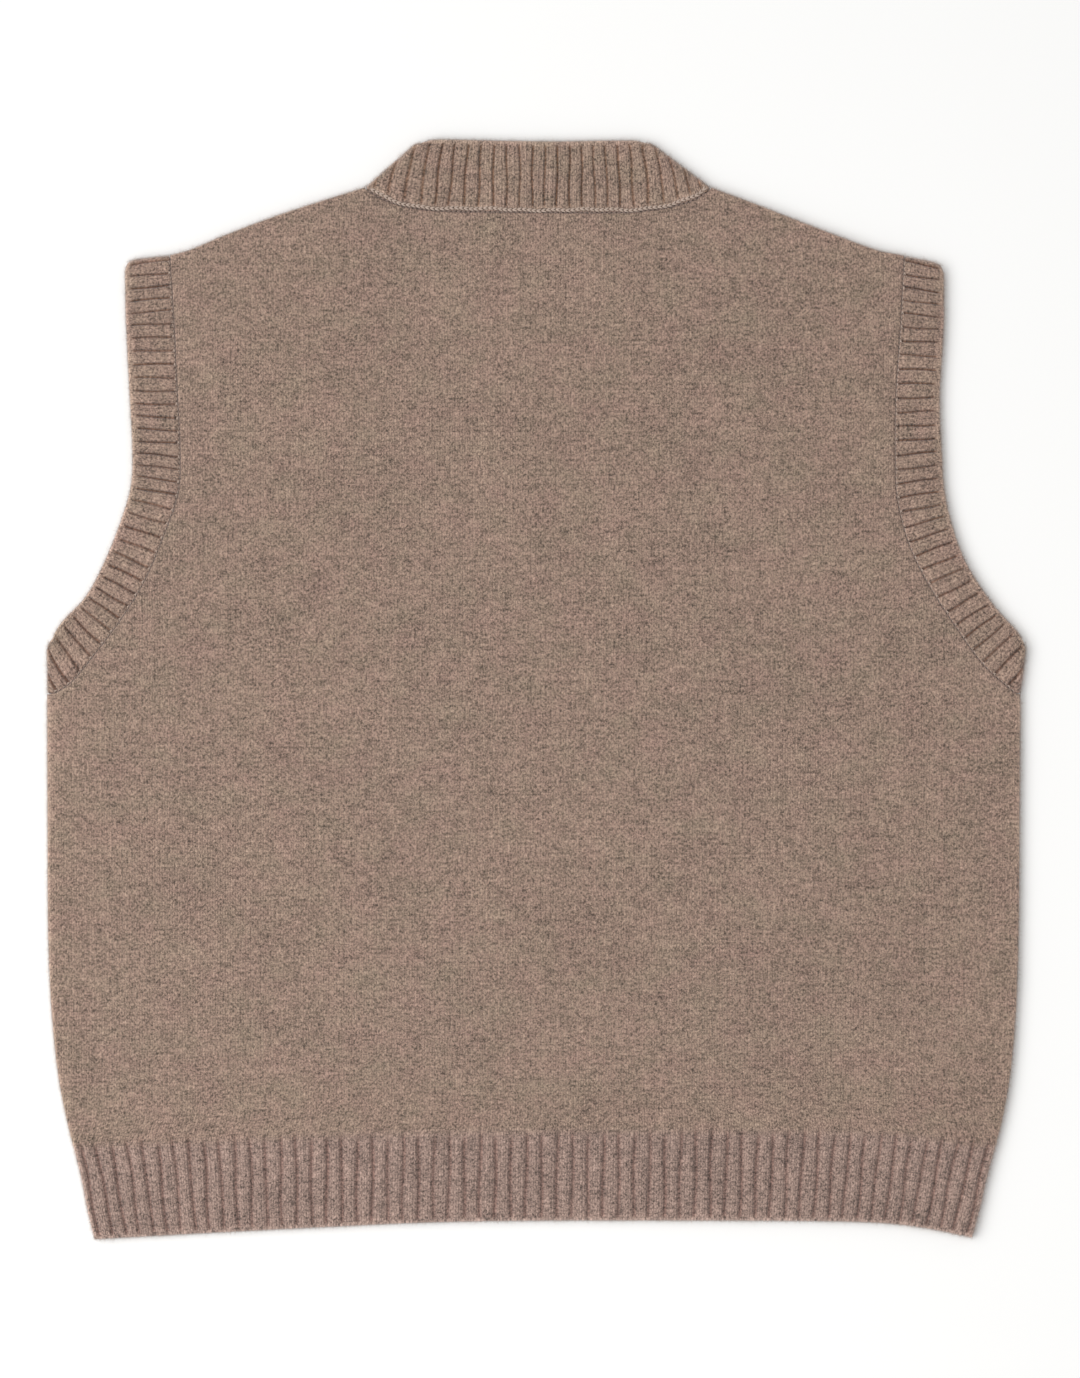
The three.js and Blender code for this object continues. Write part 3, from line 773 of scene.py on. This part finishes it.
def ring_section(width, steps):
    """Closed outline of a band's cross-section: across from the seam, and level."""
    size = sizes()
    top, bottom = outside(), inside()
    inset = size.edge_round
    outline = [(SEAM_INSET, bottom), (SEAM_INSET, top - 1.0), (0.35, top - 0.45), (0.8, top - 0.12)]
    outline += [(mix(1.3, width - inset, i / steps), top) for i in range(steps + 1)]
    for i in range(1, 6):
        turn = math.pi / 2 * i / 5
        fall = size.cloth * ROLL_SHARE * (1 - math.cos(turn))
        outline.append((width - inset * (1 - math.sin(turn)), top - fall))
    outline += [(width - 0.25, bottom + 0.15), (width - 0.8, bottom)]
    outline += [(mix(width - 0.8, SEAM_INSET, i / 4), bottom) for i in range(1, 4)]
    return outline


def unrolled_ring(name, around, across):
    """Flat grid that a band is bent from: its lines around, and across its section."""
    bm = bmesh.new()
    bmesh.ops.create_grid(bm, x_segments=around, y_segments=across, size=0.5)
    mesh = mesh_of(name, bm)
    rest = read_points(mesh) + 0.5
    return mesh, np.round(rest[:, 0] * around), np.round(rest[:, 1] * across).astype(int)


def close_ring(mesh):
    """Joins a bent grid where its opposite sides meet."""
    bm = bmesh.new()
    bm.from_mesh(mesh)
    bmesh.ops.remove_doubles(bm, verts=bm.verts, dist=1e-7)
    turn_out(bm, mesh)


def build_band(band, width, pitch, plain, steps, material, seed):
    """Ribbed band as a closed ring, laid flat along its seam."""
    size = sizes()
    upper_steps, fold_steps, lower_steps, across_steps = steps
    total = upper_steps + lower_steps + 2 * fold_steps
    section = np.array(ring_section(width, across_steps))
    mesh, index, place_in_section = unrolled_ring(band.name, total, len(section))
    section = np.concatenate([section, section[:1]])[place_in_section]
    across_mm, level = section[:, 0], section[:, 1]
    across = across_mm / width
    in_upper = index <= upper_steps
    in_last = (index > upper_steps) & (index < upper_steps + fold_steps)
    in_lower = (index >= upper_steps + fold_steps) & (index <= upper_steps + fold_steps + lower_steps)
    upper_share = np.clip(index / upper_steps, 0, 1)
    lower_share = np.clip((index - upper_steps - fold_steps) / lower_steps, 0, 1)
    last_turn = (index - upper_steps) / fold_steps
    first_turn = (total - index) / fold_steps
    turn = np.select([in_upper, in_last, in_lower], [0, last_turn, 1], first_turn) * math.pi

    upper_point, upper_rib = band.upper(upper_share, across)
    lower_point, lower_rib = band.lower(lower_share, across)
    last_rib, first_rib = (band.fold_rib(fold, across) for fold in (band.last, band.first))
    rib = np.select(
        [in_upper, in_last, in_lower],
        [upper_rib, last_rib + turn / math.pi, lower_rib],
        first_rib + band.ribs_round - turn / math.pi,
    )
    base = np.select(
        [in_upper[:, None], in_last[:, None], in_lower[:, None]],
        [upper_point, band.fold_point(band.last, across), lower_point],
        band.fold_point(band.first, across),
    )
    out = np.select(
        [in_last[:, None], (in_upper | in_lower)[:, None]],
        [band.fold_out(band.last, across), np.zeros(2)],
        band.fold_out(band.first, across),
    )

    outer = (level > inside() + 0.01) & (across_mm > 0.1)
    from_seam, from_edge = plain
    window = smooth(from_seam - 0.8, from_seam + 0.7, across_mm)
    window = window * (1 - smooth(width - from_edge - 0.9, width - from_edge + 0.5, across_mm))
    drift = 0.04 * np.sin(across_mm / 5 + per_rib(rib, band.ribs_round, seed + 50, 0, 6))
    strength = per_rib(rib, band.ribs_round, seed, 0.75, 1.0)
    relief, painted_shade = rib_relief(rib + drift, pitch, size.band_groove, window, strength)
    if band.v_neck:
        relief = relief - 0.35 * (1 - smooth(from_seam - 1.2, from_seam, across_mm))
    under = smooth(0.25, 0.75, turn / math.pi)
    relief = relief - under * size.ridge * 1.05
    relief = np.where(under > 0.5, np.minimum(relief, 0), relief) * (1 - 0.85 * np.sin(turn))
    radial = level + np.where(outer, relief, 0)
    flat = band.round_corners(base + out * (radial * np.sin(turn))[:, None])
    height = outside() + radial * np.cos(turn)
    points = np.concatenate([flat, height[:, None]], 1) + place()
    # Painted shade along the seam, stronger or weaker from rib to rib
    band_seam_shade = np.exp(-((across_mm - SEAM_INSET) / 0.55) ** 2)
    band_seam_shade = per_rib(rib, band.ribs_round, seed + 20, 0.1, 0.8) * band_seam_shade
    # Painted light on the free edge and round the folds, where the nap catches light
    nap = np.maximum(np.exp(-((width - across_mm) / RIM_LIGHT_REACH) ** 2), np.sin(turn) ** 4)
    write_piece(mesh, points, rib * 2.6, across_mm / size.course, np.clip(painted_shade + band_seam_shade, 0, 1), nap)
    close_ring(mesh)
    return cloth_object(band.name + "_knit", mesh, material, band.name)


# Materials


def add_node(tree, kind, settings=None, **links):
    """Adds a node with its settings, and links or sets its inputs by name."""
    node = tree.nodes.new(kind)
    for name, value in (settings or {}).items():
        setattr(node, name, value)
    for name, value in links.items():
        key = int(name[1:]) if name[0] == "i" and name[1:].isdigit() else name.replace("_", " ")
        socket = node.inputs[key]
        if isinstance(value, bpy.types.NodeSocket):
            tree.links.new(value, socket)
        else:
            socket.default_value = value
    return node


def matt_material(name, **values):
    """New material, its node tree and its shader, with values that are the same everywhere."""
    material = bpy.data.materials.new(name)
    material.use_nodes = True
    shader = material.node_tree.nodes["Principled BSDF"]
    for socket, value in values.items():
        shader.inputs[socket.replace("_", " ")].default_value = value
    return material, material.node_tree, shader


def two_tones(tree, shader, colour, scale, dark, light):
    """Links a colour that varies between two tones of one colour with a fine noise."""
    spot = add_node(tree, "ShaderNodeTexCoord").outputs["Object"]
    fleck = add_node(tree, "ShaderNodeTexNoise", Vector=spot, Scale=scale, Detail=2.0).outputs[0]
    tones = [(colour[0] * gain, colour[1] * gain, colour[2] * gain, 1) for gain in (dark, light)]
    shade = add_node(tree, "ShaderNodeMix", {"data_type": "RGBA"}, i0=fleck, i6=tones[0], i7=tones[1])
    tree.links.new(shade.outputs[2], shader.inputs["Base Color"])


def wool(name, colour, painted_groove_tint, streak, hem_courses=0.0):
    """Carded wool, knitted and lightly milled: a heathered matt cloth with a short nap.

    Fibres of several tones are mixed in its yarn, so the eye sees fine light and dark flecks and
    faint streaks along the courses, with painted shade in the grooves and painted light at the edges.
    """
    material, tree, shader = matt_material(
        name, Roughness=0.93, Specular_IOR_Level=0.25, Sheen_Weight=0.4, Sheen_Roughness=0.5)
    minus, times, times_plus = ({"operation": kind} for kind in ("SUBTRACT", "MULTIPLY", "MULTIPLY_ADD"))
    power, part_of, positive = ({"operation": kind} for kind in ("POWER", "FRACT", "ABSOLUTE"))

    stitches = add_node(tree, "ShaderNodeUVMap", {"uv_map": "stitches"}).outputs[0]
    wale, course, _ = add_node(tree, "ShaderNodeSeparateXYZ", i0=stitches).outputs
    across = add_node(tree, "ShaderNodeMath", part_of, i0=wale).outputs[0]
    off_middle = add_node(tree, "ShaderNodeMath", minus, i0=across, i1=0.5).outputs[0]
    lean = add_node(tree, "ShaderNodeMath", positive, i0=off_middle).outputs[0]
    climb = add_node(tree, "ShaderNodeMath", times_plus, i0=lean, i1=1.3, i2=course).outputs[0]
    along = add_node(tree, "ShaderNodeMath", part_of, i0=climb).outputs[0]
    waves = []
    for value, turn, sharpness in ((across, 2 * math.pi, 0.6), (along, math.pi, 0.7)):
        angle = add_node(tree, "ShaderNodeMath", times, i0=value, i1=turn).outputs[0]
        sine = add_node(tree, "ShaderNodeMath", {"operation": "SINE"}, i0=angle).outputs[0]
        size = add_node(tree, "ShaderNodeMath", positive, i0=sine).outputs[0]
        waves.append(add_node(tree, "ShaderNodeMath", power, i0=size, i1=sharpness).outputs[0])
    stitch = add_node(tree, "ShaderNodeMath", times, i0=waves[0], i1=waves[1]).outputs[0]

    tone = add_node(tree, "ShaderNodeMath", times_plus, i0=stitch, i1=0.22, i2=1 - 0.45 * 0.22).outputs[0]
    noises = {}
    for layer, (scale_across, scale_along, detail, roughness, strength) in {
        "fleck": (2.05, 1.95, 2.0, 0.65, 2.35),
        "grain": (4.0, 3.8, 1.0, 0.6, 1.4),
        "clump": (0.62, 0.66, 1.0, 1.0, 0.92),
        "cloud": (0.2, 0.21, 1.0, 1.0, 0.36),
        "streak": (0.28, 0.8, 2.0, 0.6, streak),
        "patch": (0.05, 0.07, 2.0, 0.5, 0.24),
        "tint": (0.12, 0.16, 2.0, 0.55, 0.0),
        "fuzz": (3.4, 3.8, 3.0, 0.7, 0.0),
    }.items():
        apart = 13.1 * (len(noises) + 1)
        spread = add_node(
            tree, "ShaderNodeMapping", Vector=stitches, Location=(apart, apart * 1.7, 0),
            Scale=(scale_across, scale_along, 1),
        ).outputs[0]
        noises[layer] = add_node(
            tree, "ShaderNodeTexNoise", {"noise_dimensions": "2D"}, Vector=spread,
            Scale=1.0, Detail=detail, Roughness=roughness,
        ).outputs[0]
        if strength:
            centred = add_node(tree, "ShaderNodeMath", minus, i0=noises[layer], i1=0.5).outputs[0]
            tone = add_node(tree, "ShaderNodeMath", times_plus, i0=centred, i1=strength, i2=tone).outputs[0]

    # Painted shade of the grooves and seams, and painted light on the free edges
    painted_shade = add_node(tree, "ShaderNodeAttribute", {"attribute_name": "painted_shade"}).outputs["Fac"]
    nap = add_node(tree, "ShaderNodeAttribute", {"attribute_name": "nap"}).outputs["Fac"]
    tone = add_node(tree, "ShaderNodeMath", {"operation": "MAXIMUM"}, i0=tone, i1=0.25).outputs[0]
    rim_light_gain = add_node(tree, "ShaderNodeMath", times_plus, i0=nap, i1=0.4, i2=1.0).outputs[0]
    tone = add_node(tree, "ShaderNodeMath", times, i0=tone, i1=rim_light_gain).outputs[0]
    pink = add_node(
        tree, "ShaderNodeMix", {"data_type": "RGBA"}, i0=noises["tint"],
        i6=(colour[0] * 0.955, colour[1] * 1.03, colour[2] * 0.975, 1),
        i7=(colour[0] * 1.05, colour[1] * 0.97, colour[2] * 1.02, 1),
    ).outputs[2]
    if hem_courses:
        in_hem = add_node(
            tree, "ShaderNodeMapRange", {"interpolation_type": "SMOOTHSTEP"}, Value=course,
            From_Min=hem_courses + 3.0, From_Max=hem_courses, To_Min=0.0, To_Max=1.0,
        ).outputs[0]
        pink = add_node(
            tree, "ShaderNodeMix", {"data_type": "RGBA"}, i0=in_hem, i6=pink,
            i7=(colour[0] * 1.075, colour[1] * 1.075, colour[2] * 1.16, 1),
        ).outputs[2]
    # Painted groove shade: the colour is pulled towards its groove tint where the painted shade is deep
    shaded = add_node(
        tree, "ShaderNodeMix", {"data_type": "RGBA"}, i0=painted_shade, i6=(1, 1, 1, 1), i7=(*painted_groove_tint, 1),
    ).outputs[2]
    shaded = add_node(tree, "ShaderNodeVectorMath", {"operation": "SCALE"}, i0=shaded, Scale=tone).outputs[0]
    shade = add_node(tree, "ShaderNodeVectorMath", times, i0=pink, i1=shaded).outputs[0]
    tree.links.new(shade, shader.inputs["Base Color"])

    relief = add_node(tree, "ShaderNodeMath", times_plus, i0=noises["fuzz"], i1=0.55, i2=stitch).outputs[0]
    bump = add_node(tree, "ShaderNodeBump", Strength=0.7, Distance=0.0005, Height=relief).outputs[0]
    tree.links.new(bump, shader.inputs["Normal"])
    return material


def yarn(name, colour):
    """Carded wool, spun or loose: matt, and light and dark by turns where fibres of two tones mix."""
    material, tree, shader = matt_material(
        name, Roughness=0.95, Specular_IOR_Level=0.2, Sheen_Weight=0.2)
    two_tones(tree, shader, colour, 700.0, 0.7, 1.3)
    return material


def pale_floor(name, colour):
    """Board painted matt with a roller: nearly white, quite even and without a shine."""
    material, tree, shader = matt_material(name, Roughness=0.9, Specular_IOR_Level=0.1)
    two_tones(tree, shader, colour, 900.0, 0.995, 1.0)
    return material


# Linking chain and loose fibres


def even_steps(points, step):
    """Points and directions along a line, a given step apart."""
    gaps = np.hypot(*np.diff(points, axis=0).T)
    run = np.concatenate([[0], np.cumsum(gaps)])
    at = np.arange(step / 2, run[-1], step)
    spots = np.stack([np.interp(at, run, points[:, axis]) for axis in (0, 1)], -1)
    ahead = np.stack([np.interp(at + 0.5, run, points[:, axis]) for axis in (0, 1)], -1)
    behind = np.stack([np.interp(at - 0.5, run, points[:, axis]) for axis in (0, 1)], -1)
    return spots, ahead - behind


def row_of_copies(bm, count):
    """Doubles what a mesh holds until so many copies of it stand in a row along X."""
    made = 1
    while made < count:
        copied = bmesh.ops.duplicate(bm, geom=bm.verts[:] + bm.edges[:] + bm.faces[:])["geom"]
        verts = [item for item in copied if isinstance(item, bmesh.types.BMVert)]
        bmesh.ops.translate(bm, vec=(COPY_STEP * made, 0, 0), verts=verts)
        made *= 2
    spare = [vert for vert in bm.verts if vert.co.x > COPY_STEP * (count - 0.5)]
    bmesh.ops.delete(bm, geom=spare, context="VERTS")


def scattered(name, bm, axes, spots):
    """Mesh of many copies of one small shape, each with its own three axes and place, in mm."""
    row_of_copies(bm, len(spots))
    mesh = mesh_of(name, bm)
    rest = read_points(mesh)
    copy = np.round(rest[:, 0] / COPY_STEP).astype(int)
    rest[:, 0] -= copy * COPY_STEP
    points = np.einsum("pj,pjk->pk", rest, axes[copy]) + spots[copy] + place()
    mesh.vertices.foreach_set("co", (points * MM).ravel())
    mesh.update()
    return mesh


def chain_links(band, upper, shape):
    """Axes and places of a chain of V-shaped links along a band's seam.

    The neck's chain wanders a little to both sides, as one linked by hand does.
    """
    step, length, width, across_mm, level, band_width = shape
    share = np.linspace(0, 1, 400)
    slack = 0.0
    if band.v_neck and across_mm > 1:
        slack = CHAIN_SLACK * np.sin(share * 23) * np.sin(share * 41 + 1)
    line = (band.upper if upper else band.lower)(share, (np.full(400, across_mm) + slack) / band_width)[0]
    spots, directions = even_steps(line, step)
    heading = np.arctan2(directions[:, 1], directions[:, 0])
    height = np.full(len(spots), outside() + (level if upper else width / 2 + 0.05 - outside()))
    axes, places = [], []
    for lean in (-1, 1):
        turn = heading + lean * 0.32
        along = np.stack([np.cos(turn), np.sin(turn), np.zeros_like(turn)], -1) * length / 2
        aside = np.stack([-np.sin(turn), np.cos(turn), np.zeros_like(turn)], -1) * width / 2
        rise = np.tile([0, 0, width / 2], (len(turn), 1))
        axes.append(np.stack([along, aside, rise], 1))
        shift = np.stack([-np.sin(heading), np.cos(heading)], -1) * lean * width * 0.42
        places.append(np.concatenate([spots + shift, height[:, None]], 1))
    return np.concatenate(axes), np.concatenate(places)


def fibres(line, rng, step):
    """Axes and places of loose fibres that start in an edge and point out of it."""
    spots, directions = even_steps(line, step)
    count = len(spots)
    normal = np.stack([directions[:, 1], -directions[:, 0]], -1)
    outwards = np.sign(np.sum(normal * (spots - VEST_MIDDLE), axis=1))[:, None] * normal
    heading = np.arctan2(outwards[:, 1], outwards[:, 0]) + rng.normal(0, 0.75, count)
    length = np.minimum(0.7 + rng.exponential(0.72, count), 4.0)
    low = rng.uniform(0.9, 4.6, count)
    rise = np.maximum(rng.normal(0.05, 0.3, count), -np.arcsin(np.minimum((low - 0.1) / length, 1)))
    ahead = np.stack([np.cos(heading) * np.cos(rise), np.sin(heading) * np.cos(rise), np.sin(rise)], -1)
    aside = np.stack([-np.sin(heading), np.cos(heading), np.zeros(count)], -1)
    upward = np.cross(ahead, aside)
    axes = np.stack([aside * FIBRE_RADIUS, upward * FIBRE_RADIUS, ahead * length[:, None] / 2], 1)
    root = np.concatenate([spots, low[:, None]], 1)
    return axes, root + ahead * length[:, None] / 2


def vest_outline():
    """Outer outline of the whole vest, as separate lines."""
    arm_left, arm_right, collar = left_armhole(), right_armhole(), neck()
    hem_x = np.linspace(HEM_EDGE["x"][-1], HEM_EDGE["x"][0], 200)
    lines = [np.stack([hem_x, column_at(HEM_EDGE, "x", "y", hem_x)], -1)]
    for column, ends in (("left", (0, 300)), ("right", (300, 0))):
        y = np.linspace(*ends, 160)
        lines.append(np.stack([column_at(SIDE_SEAM, "y", column, y), y], -1))
    share = np.linspace(0, 1, 200)
    for band, order in ((arm_left, -1), (arm_right, 1), (collar, 1)):
        edge = band.upper(share, np.ones(200))[0][::order]
        lines.append(band.round_corners(edge))
    for rows in (SHOULDER_LEFT, SHOULDER_RIGHT):
        x = np.linspace(rows["x"][0], rows["x"][-1], 80)
        lines.append(np.stack([x, column_at(rows, "x", "y", x)], -1))
    across = np.linspace(0, 1, 40)
    for band in (arm_left, arm_right, collar):
        for fold in (band.first, band.last):
            line = band.fold_point(fold, across) + band.fold_out(fold, across) * outside()
            lines.append(band.round_corners(line))
    return lines


# Operators


def small_piece(mesh, material):
    for face in mesh.polygons:
        face.use_smooth = True
    mesh.materials.append(material)
    piece = linked(mesh.name, mesh)
    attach(piece, BODY)


def jersey_wool():
    """Wool of front and back, made once; its painted groove shade is a little purple."""
    name = "milled wool jersey"
    made = bpy.data.materials.get(name)
    return made or wool(name, colours().jersey, JERSEY_GROOVE_SHADE, JERSEY_STREAK, HEM_COURSES)


class VEST_OT_back(bpy.types.Operator):
    """Builds the back with its ribbed hem"""
    bl_idname = "vest.back"
    bl_label = "Back"

    def execute(self, context):
        piece = build_panel("back_knit", "back", False, jersey_wool())
        return {"FINISHED"}


class VEST_OT_front(bpy.types.Operator):
    """Builds the front with its V neck and ribbed hem"""
    bl_idname = "vest.front"
    bl_label = "Front"

    def execute(self, context):
        piece = build_panel("front_knit", "front", True, jersey_wool())
        return {"FINISHED"}


class VEST_OT_armhole_bands(bpy.types.Operator):
    """Builds both ribbed armhole bands"""
    bl_idname = "vest.armhole_bands"
    bl_label = "Armhole bands"

    def execute(self, context):
        material = wool("milled wool armhole rib", colours().armhole, ARMHOLE_GROOVE_SHADE, BAND_STREAK)
        for band, pitch, seed in ((left_armhole(), 7.2, 3), (right_armhole(), 7.9, 4)):
            piece = build_band(
                band, ARMHOLE_WIDTH, pitch, (0.7, 2.9), (680, 12, 380, 26), material, seed)
        return {"FINISHED"}


class VEST_OT_neckband(bpy.types.Operator):
    """Builds the ribbed neckband"""
    bl_idname = "vest.neckband"
    bl_label = "Neckband"

    def execute(self, context):
        material = wool("milled wool neck rib", colours().neck, NECK_GROOVE_SHADE, BAND_STREAK)
        piece = build_band(neck(), NECK_WIDTH, 7.05, (3.3, 2.6), (560, 12, 480, 36), material, 6)
        return {"FINISHED"}


class VEST_OT_linking(bpy.types.Operator):
    """Builds the linking chains that join the bands to the panels"""
    bl_idname = "vest.linking"
    bl_label = "Linking chains"

    def execute(self, context):
        bands = (
            (neck(), NECK_WIDTH, 0), (left_armhole(), ARMHOLE_WIDTH, 1), (right_armhole(), ARMHOLE_WIDTH, 1),
        )
        kinds = (
            ("linking_chains", ((2.7, 3.4, 1.05, 1.5, 2.62), (2.7, 2.8, 0.5, 0.75, 2.45)),
             "spun wool linking yarn", colours().linking),
            ("seam_loops", ((2.7, 3.4, 1.0, 0.0, 1.9), (2.7, 3.4, 1.0, 0.0, 1.95)),
             "spun wool seam yarn", colours().seam),
        )
        for name, shapes, yarn_name, colour in kinds:
            links = [
                chain_links(band, upper, (*shapes[kind], width))
                for band, width, kind in bands for upper in (True, False)
            ]
            bm = bmesh.new()
            bmesh.ops.create_uvsphere(bm, u_segments=6, v_segments=5, radius=1.0)
            mesh = scattered(name, bm, *(np.concatenate(part) for part in zip(*links)))
            small_piece(mesh, yarn(yarn_name, colour))
        return {"FINISHED"}


class VEST_OT_loose_fibres(bpy.types.Operator):
    """Builds the short fibres that stand out along the edges"""
    bl_idname = "vest.loose_fibres"
    bl_label = "Loose fibres"

    def execute(self, context):
        rng = np.random.default_rng(NAP_SEED)
        nap = [fibres(line, rng, 0.09) for line in vest_outline()]
        bm = bmesh.new()
        bmesh.ops.create_cone(bm, cap_ends=True, segments=3, radius1=1, radius2=0, depth=2)
        bmesh.ops.remove_doubles(bm, verts=bm.verts, dist=1e-4)
        mesh = scattered("loose_fibres", bm, *(np.concatenate(part) for part in zip(*nap)))
        small_piece(mesh, yarn("loose carded wool", colours().linking))
        return {"FINISHED"}


class VEST_OT_stage(bpy.types.Operator):
    """Sets up the floor, the light and the camera"""
    bl_idname = "vest.stage"
    bl_label = "Stage"

    def execute(self, context):
        scene = context.scene
        studio = scene.vest_studio
        bm = bmesh.new()
        bmesh.ops.create_grid(bm, x_segments=4, y_segments=4, size=3.0)
        mesh = mesh_of("floor", bm)
        mesh.transform(Matrix.Translation((0, 0, CAD_BOX[0][2] - 0.0002)))
        mesh.materials.append(pale_floor("matt painted board", colours().floor))
        floor = linked("floor", mesh)

        world = bpy.data.worlds.new("even studio light")
        world.use_nodes = True
        background = world.node_tree.nodes["Background"]
        background.inputs["Color"].default_value = (1.0, 0.995, 0.99, 1)
        background.inputs["Strength"].default_value = studio.sky
        scene.world = world
        lamp = bpy.data.lights.new("key", "SUN")
        lamp.angle = studio.key_angle
        lamp.energy = studio.key
        key = linked("key", lamp)
        key.rotation_euler = Vector((3.0, -1.2, -3.4)).to_track_quat("-Z", "Y").to_euler()
        box = bpy.data.lights.new("soft box", "AREA")
        box.size = studio.side_size
        box.energy = studio.side
        side = linked("soft box", box)
        side.location = (-1.2, -0.45, 1.3)
        side.rotation_euler = (-side.location).to_track_quat("-Z", "Y").to_euler()

        lens = bpy.data.cameras.new("camera")
        lens.lens = studio.lens
        lens.sensor_width = 36
        camera = linked("camera", lens)
        away = studio.view_height * studio.lens / lens.sensor_width
        camera.location = (studio.view_x, studio.view_y, away + CAD_BOX[1][2])
        scene.camera = camera
        scene.view_settings.view_transform = "Standard"
        return {"FINISHED"}


class VEST_PT_panel(bpy.types.Panel):
    """Lists the steps that build the vest"""
    bl_label = "Knitted vest"
    bl_idname = "VEST_PT_panel"
    bl_space_type = "VIEW_3D"
    bl_region_type = "UI"
    bl_category = "Vest"

    def draw(self, context):
        for operator in OPERATORS:
            self.layout.operator(operator.bl_idname)
        for name in ("vest_sizes", "vest_colours", "vest_studio"):
            group = getattr(context.scene, name)
            for setting in group.bl_rna.properties.keys():
                if setting not in ("rna_type", "name"):
                    self.layout.prop(group, setting)


GROUPS = {"vest_sizes": VestSizes, "vest_colours": VestColours, "vest_studio": VestStudio}
OPERATORS = (
    VEST_OT_front, VEST_OT_back, VEST_OT_armhole_bands, VEST_OT_neckband, VEST_OT_linking,
    VEST_OT_loose_fibres, VEST_OT_stage,
)
CLASSES = (*GROUPS.values(), *OPERATORS, VEST_PT_panel)


def register():
    for cls in CLASSES:
        bpy.utils.register_class(cls)
    for name, group in GROUPS.items():
        setattr(bpy.types.Scene, name, bpy.props.PointerProperty(type=group))


def unregister():
    for name in GROUPS:
        delattr(bpy.types.Scene, name)
    for cls in reversed(CLASSES):
        bpy.utils.unregister_class(cls)


def plain(box):
    return [[float(value) for value in corner] for corner in box]


def main():
    register()
    bpy.ops.vest.front()
    bpy.ops.vest.back()
    bpy.ops.vest.armhole_bands()
    bpy.ops.vest.neckband()
    bpy.ops.vest.linking()
    bpy.ops.vest.loose_fibres()
    bpy.ops.vest.stage()


if __name__ == "__main__":
    main()
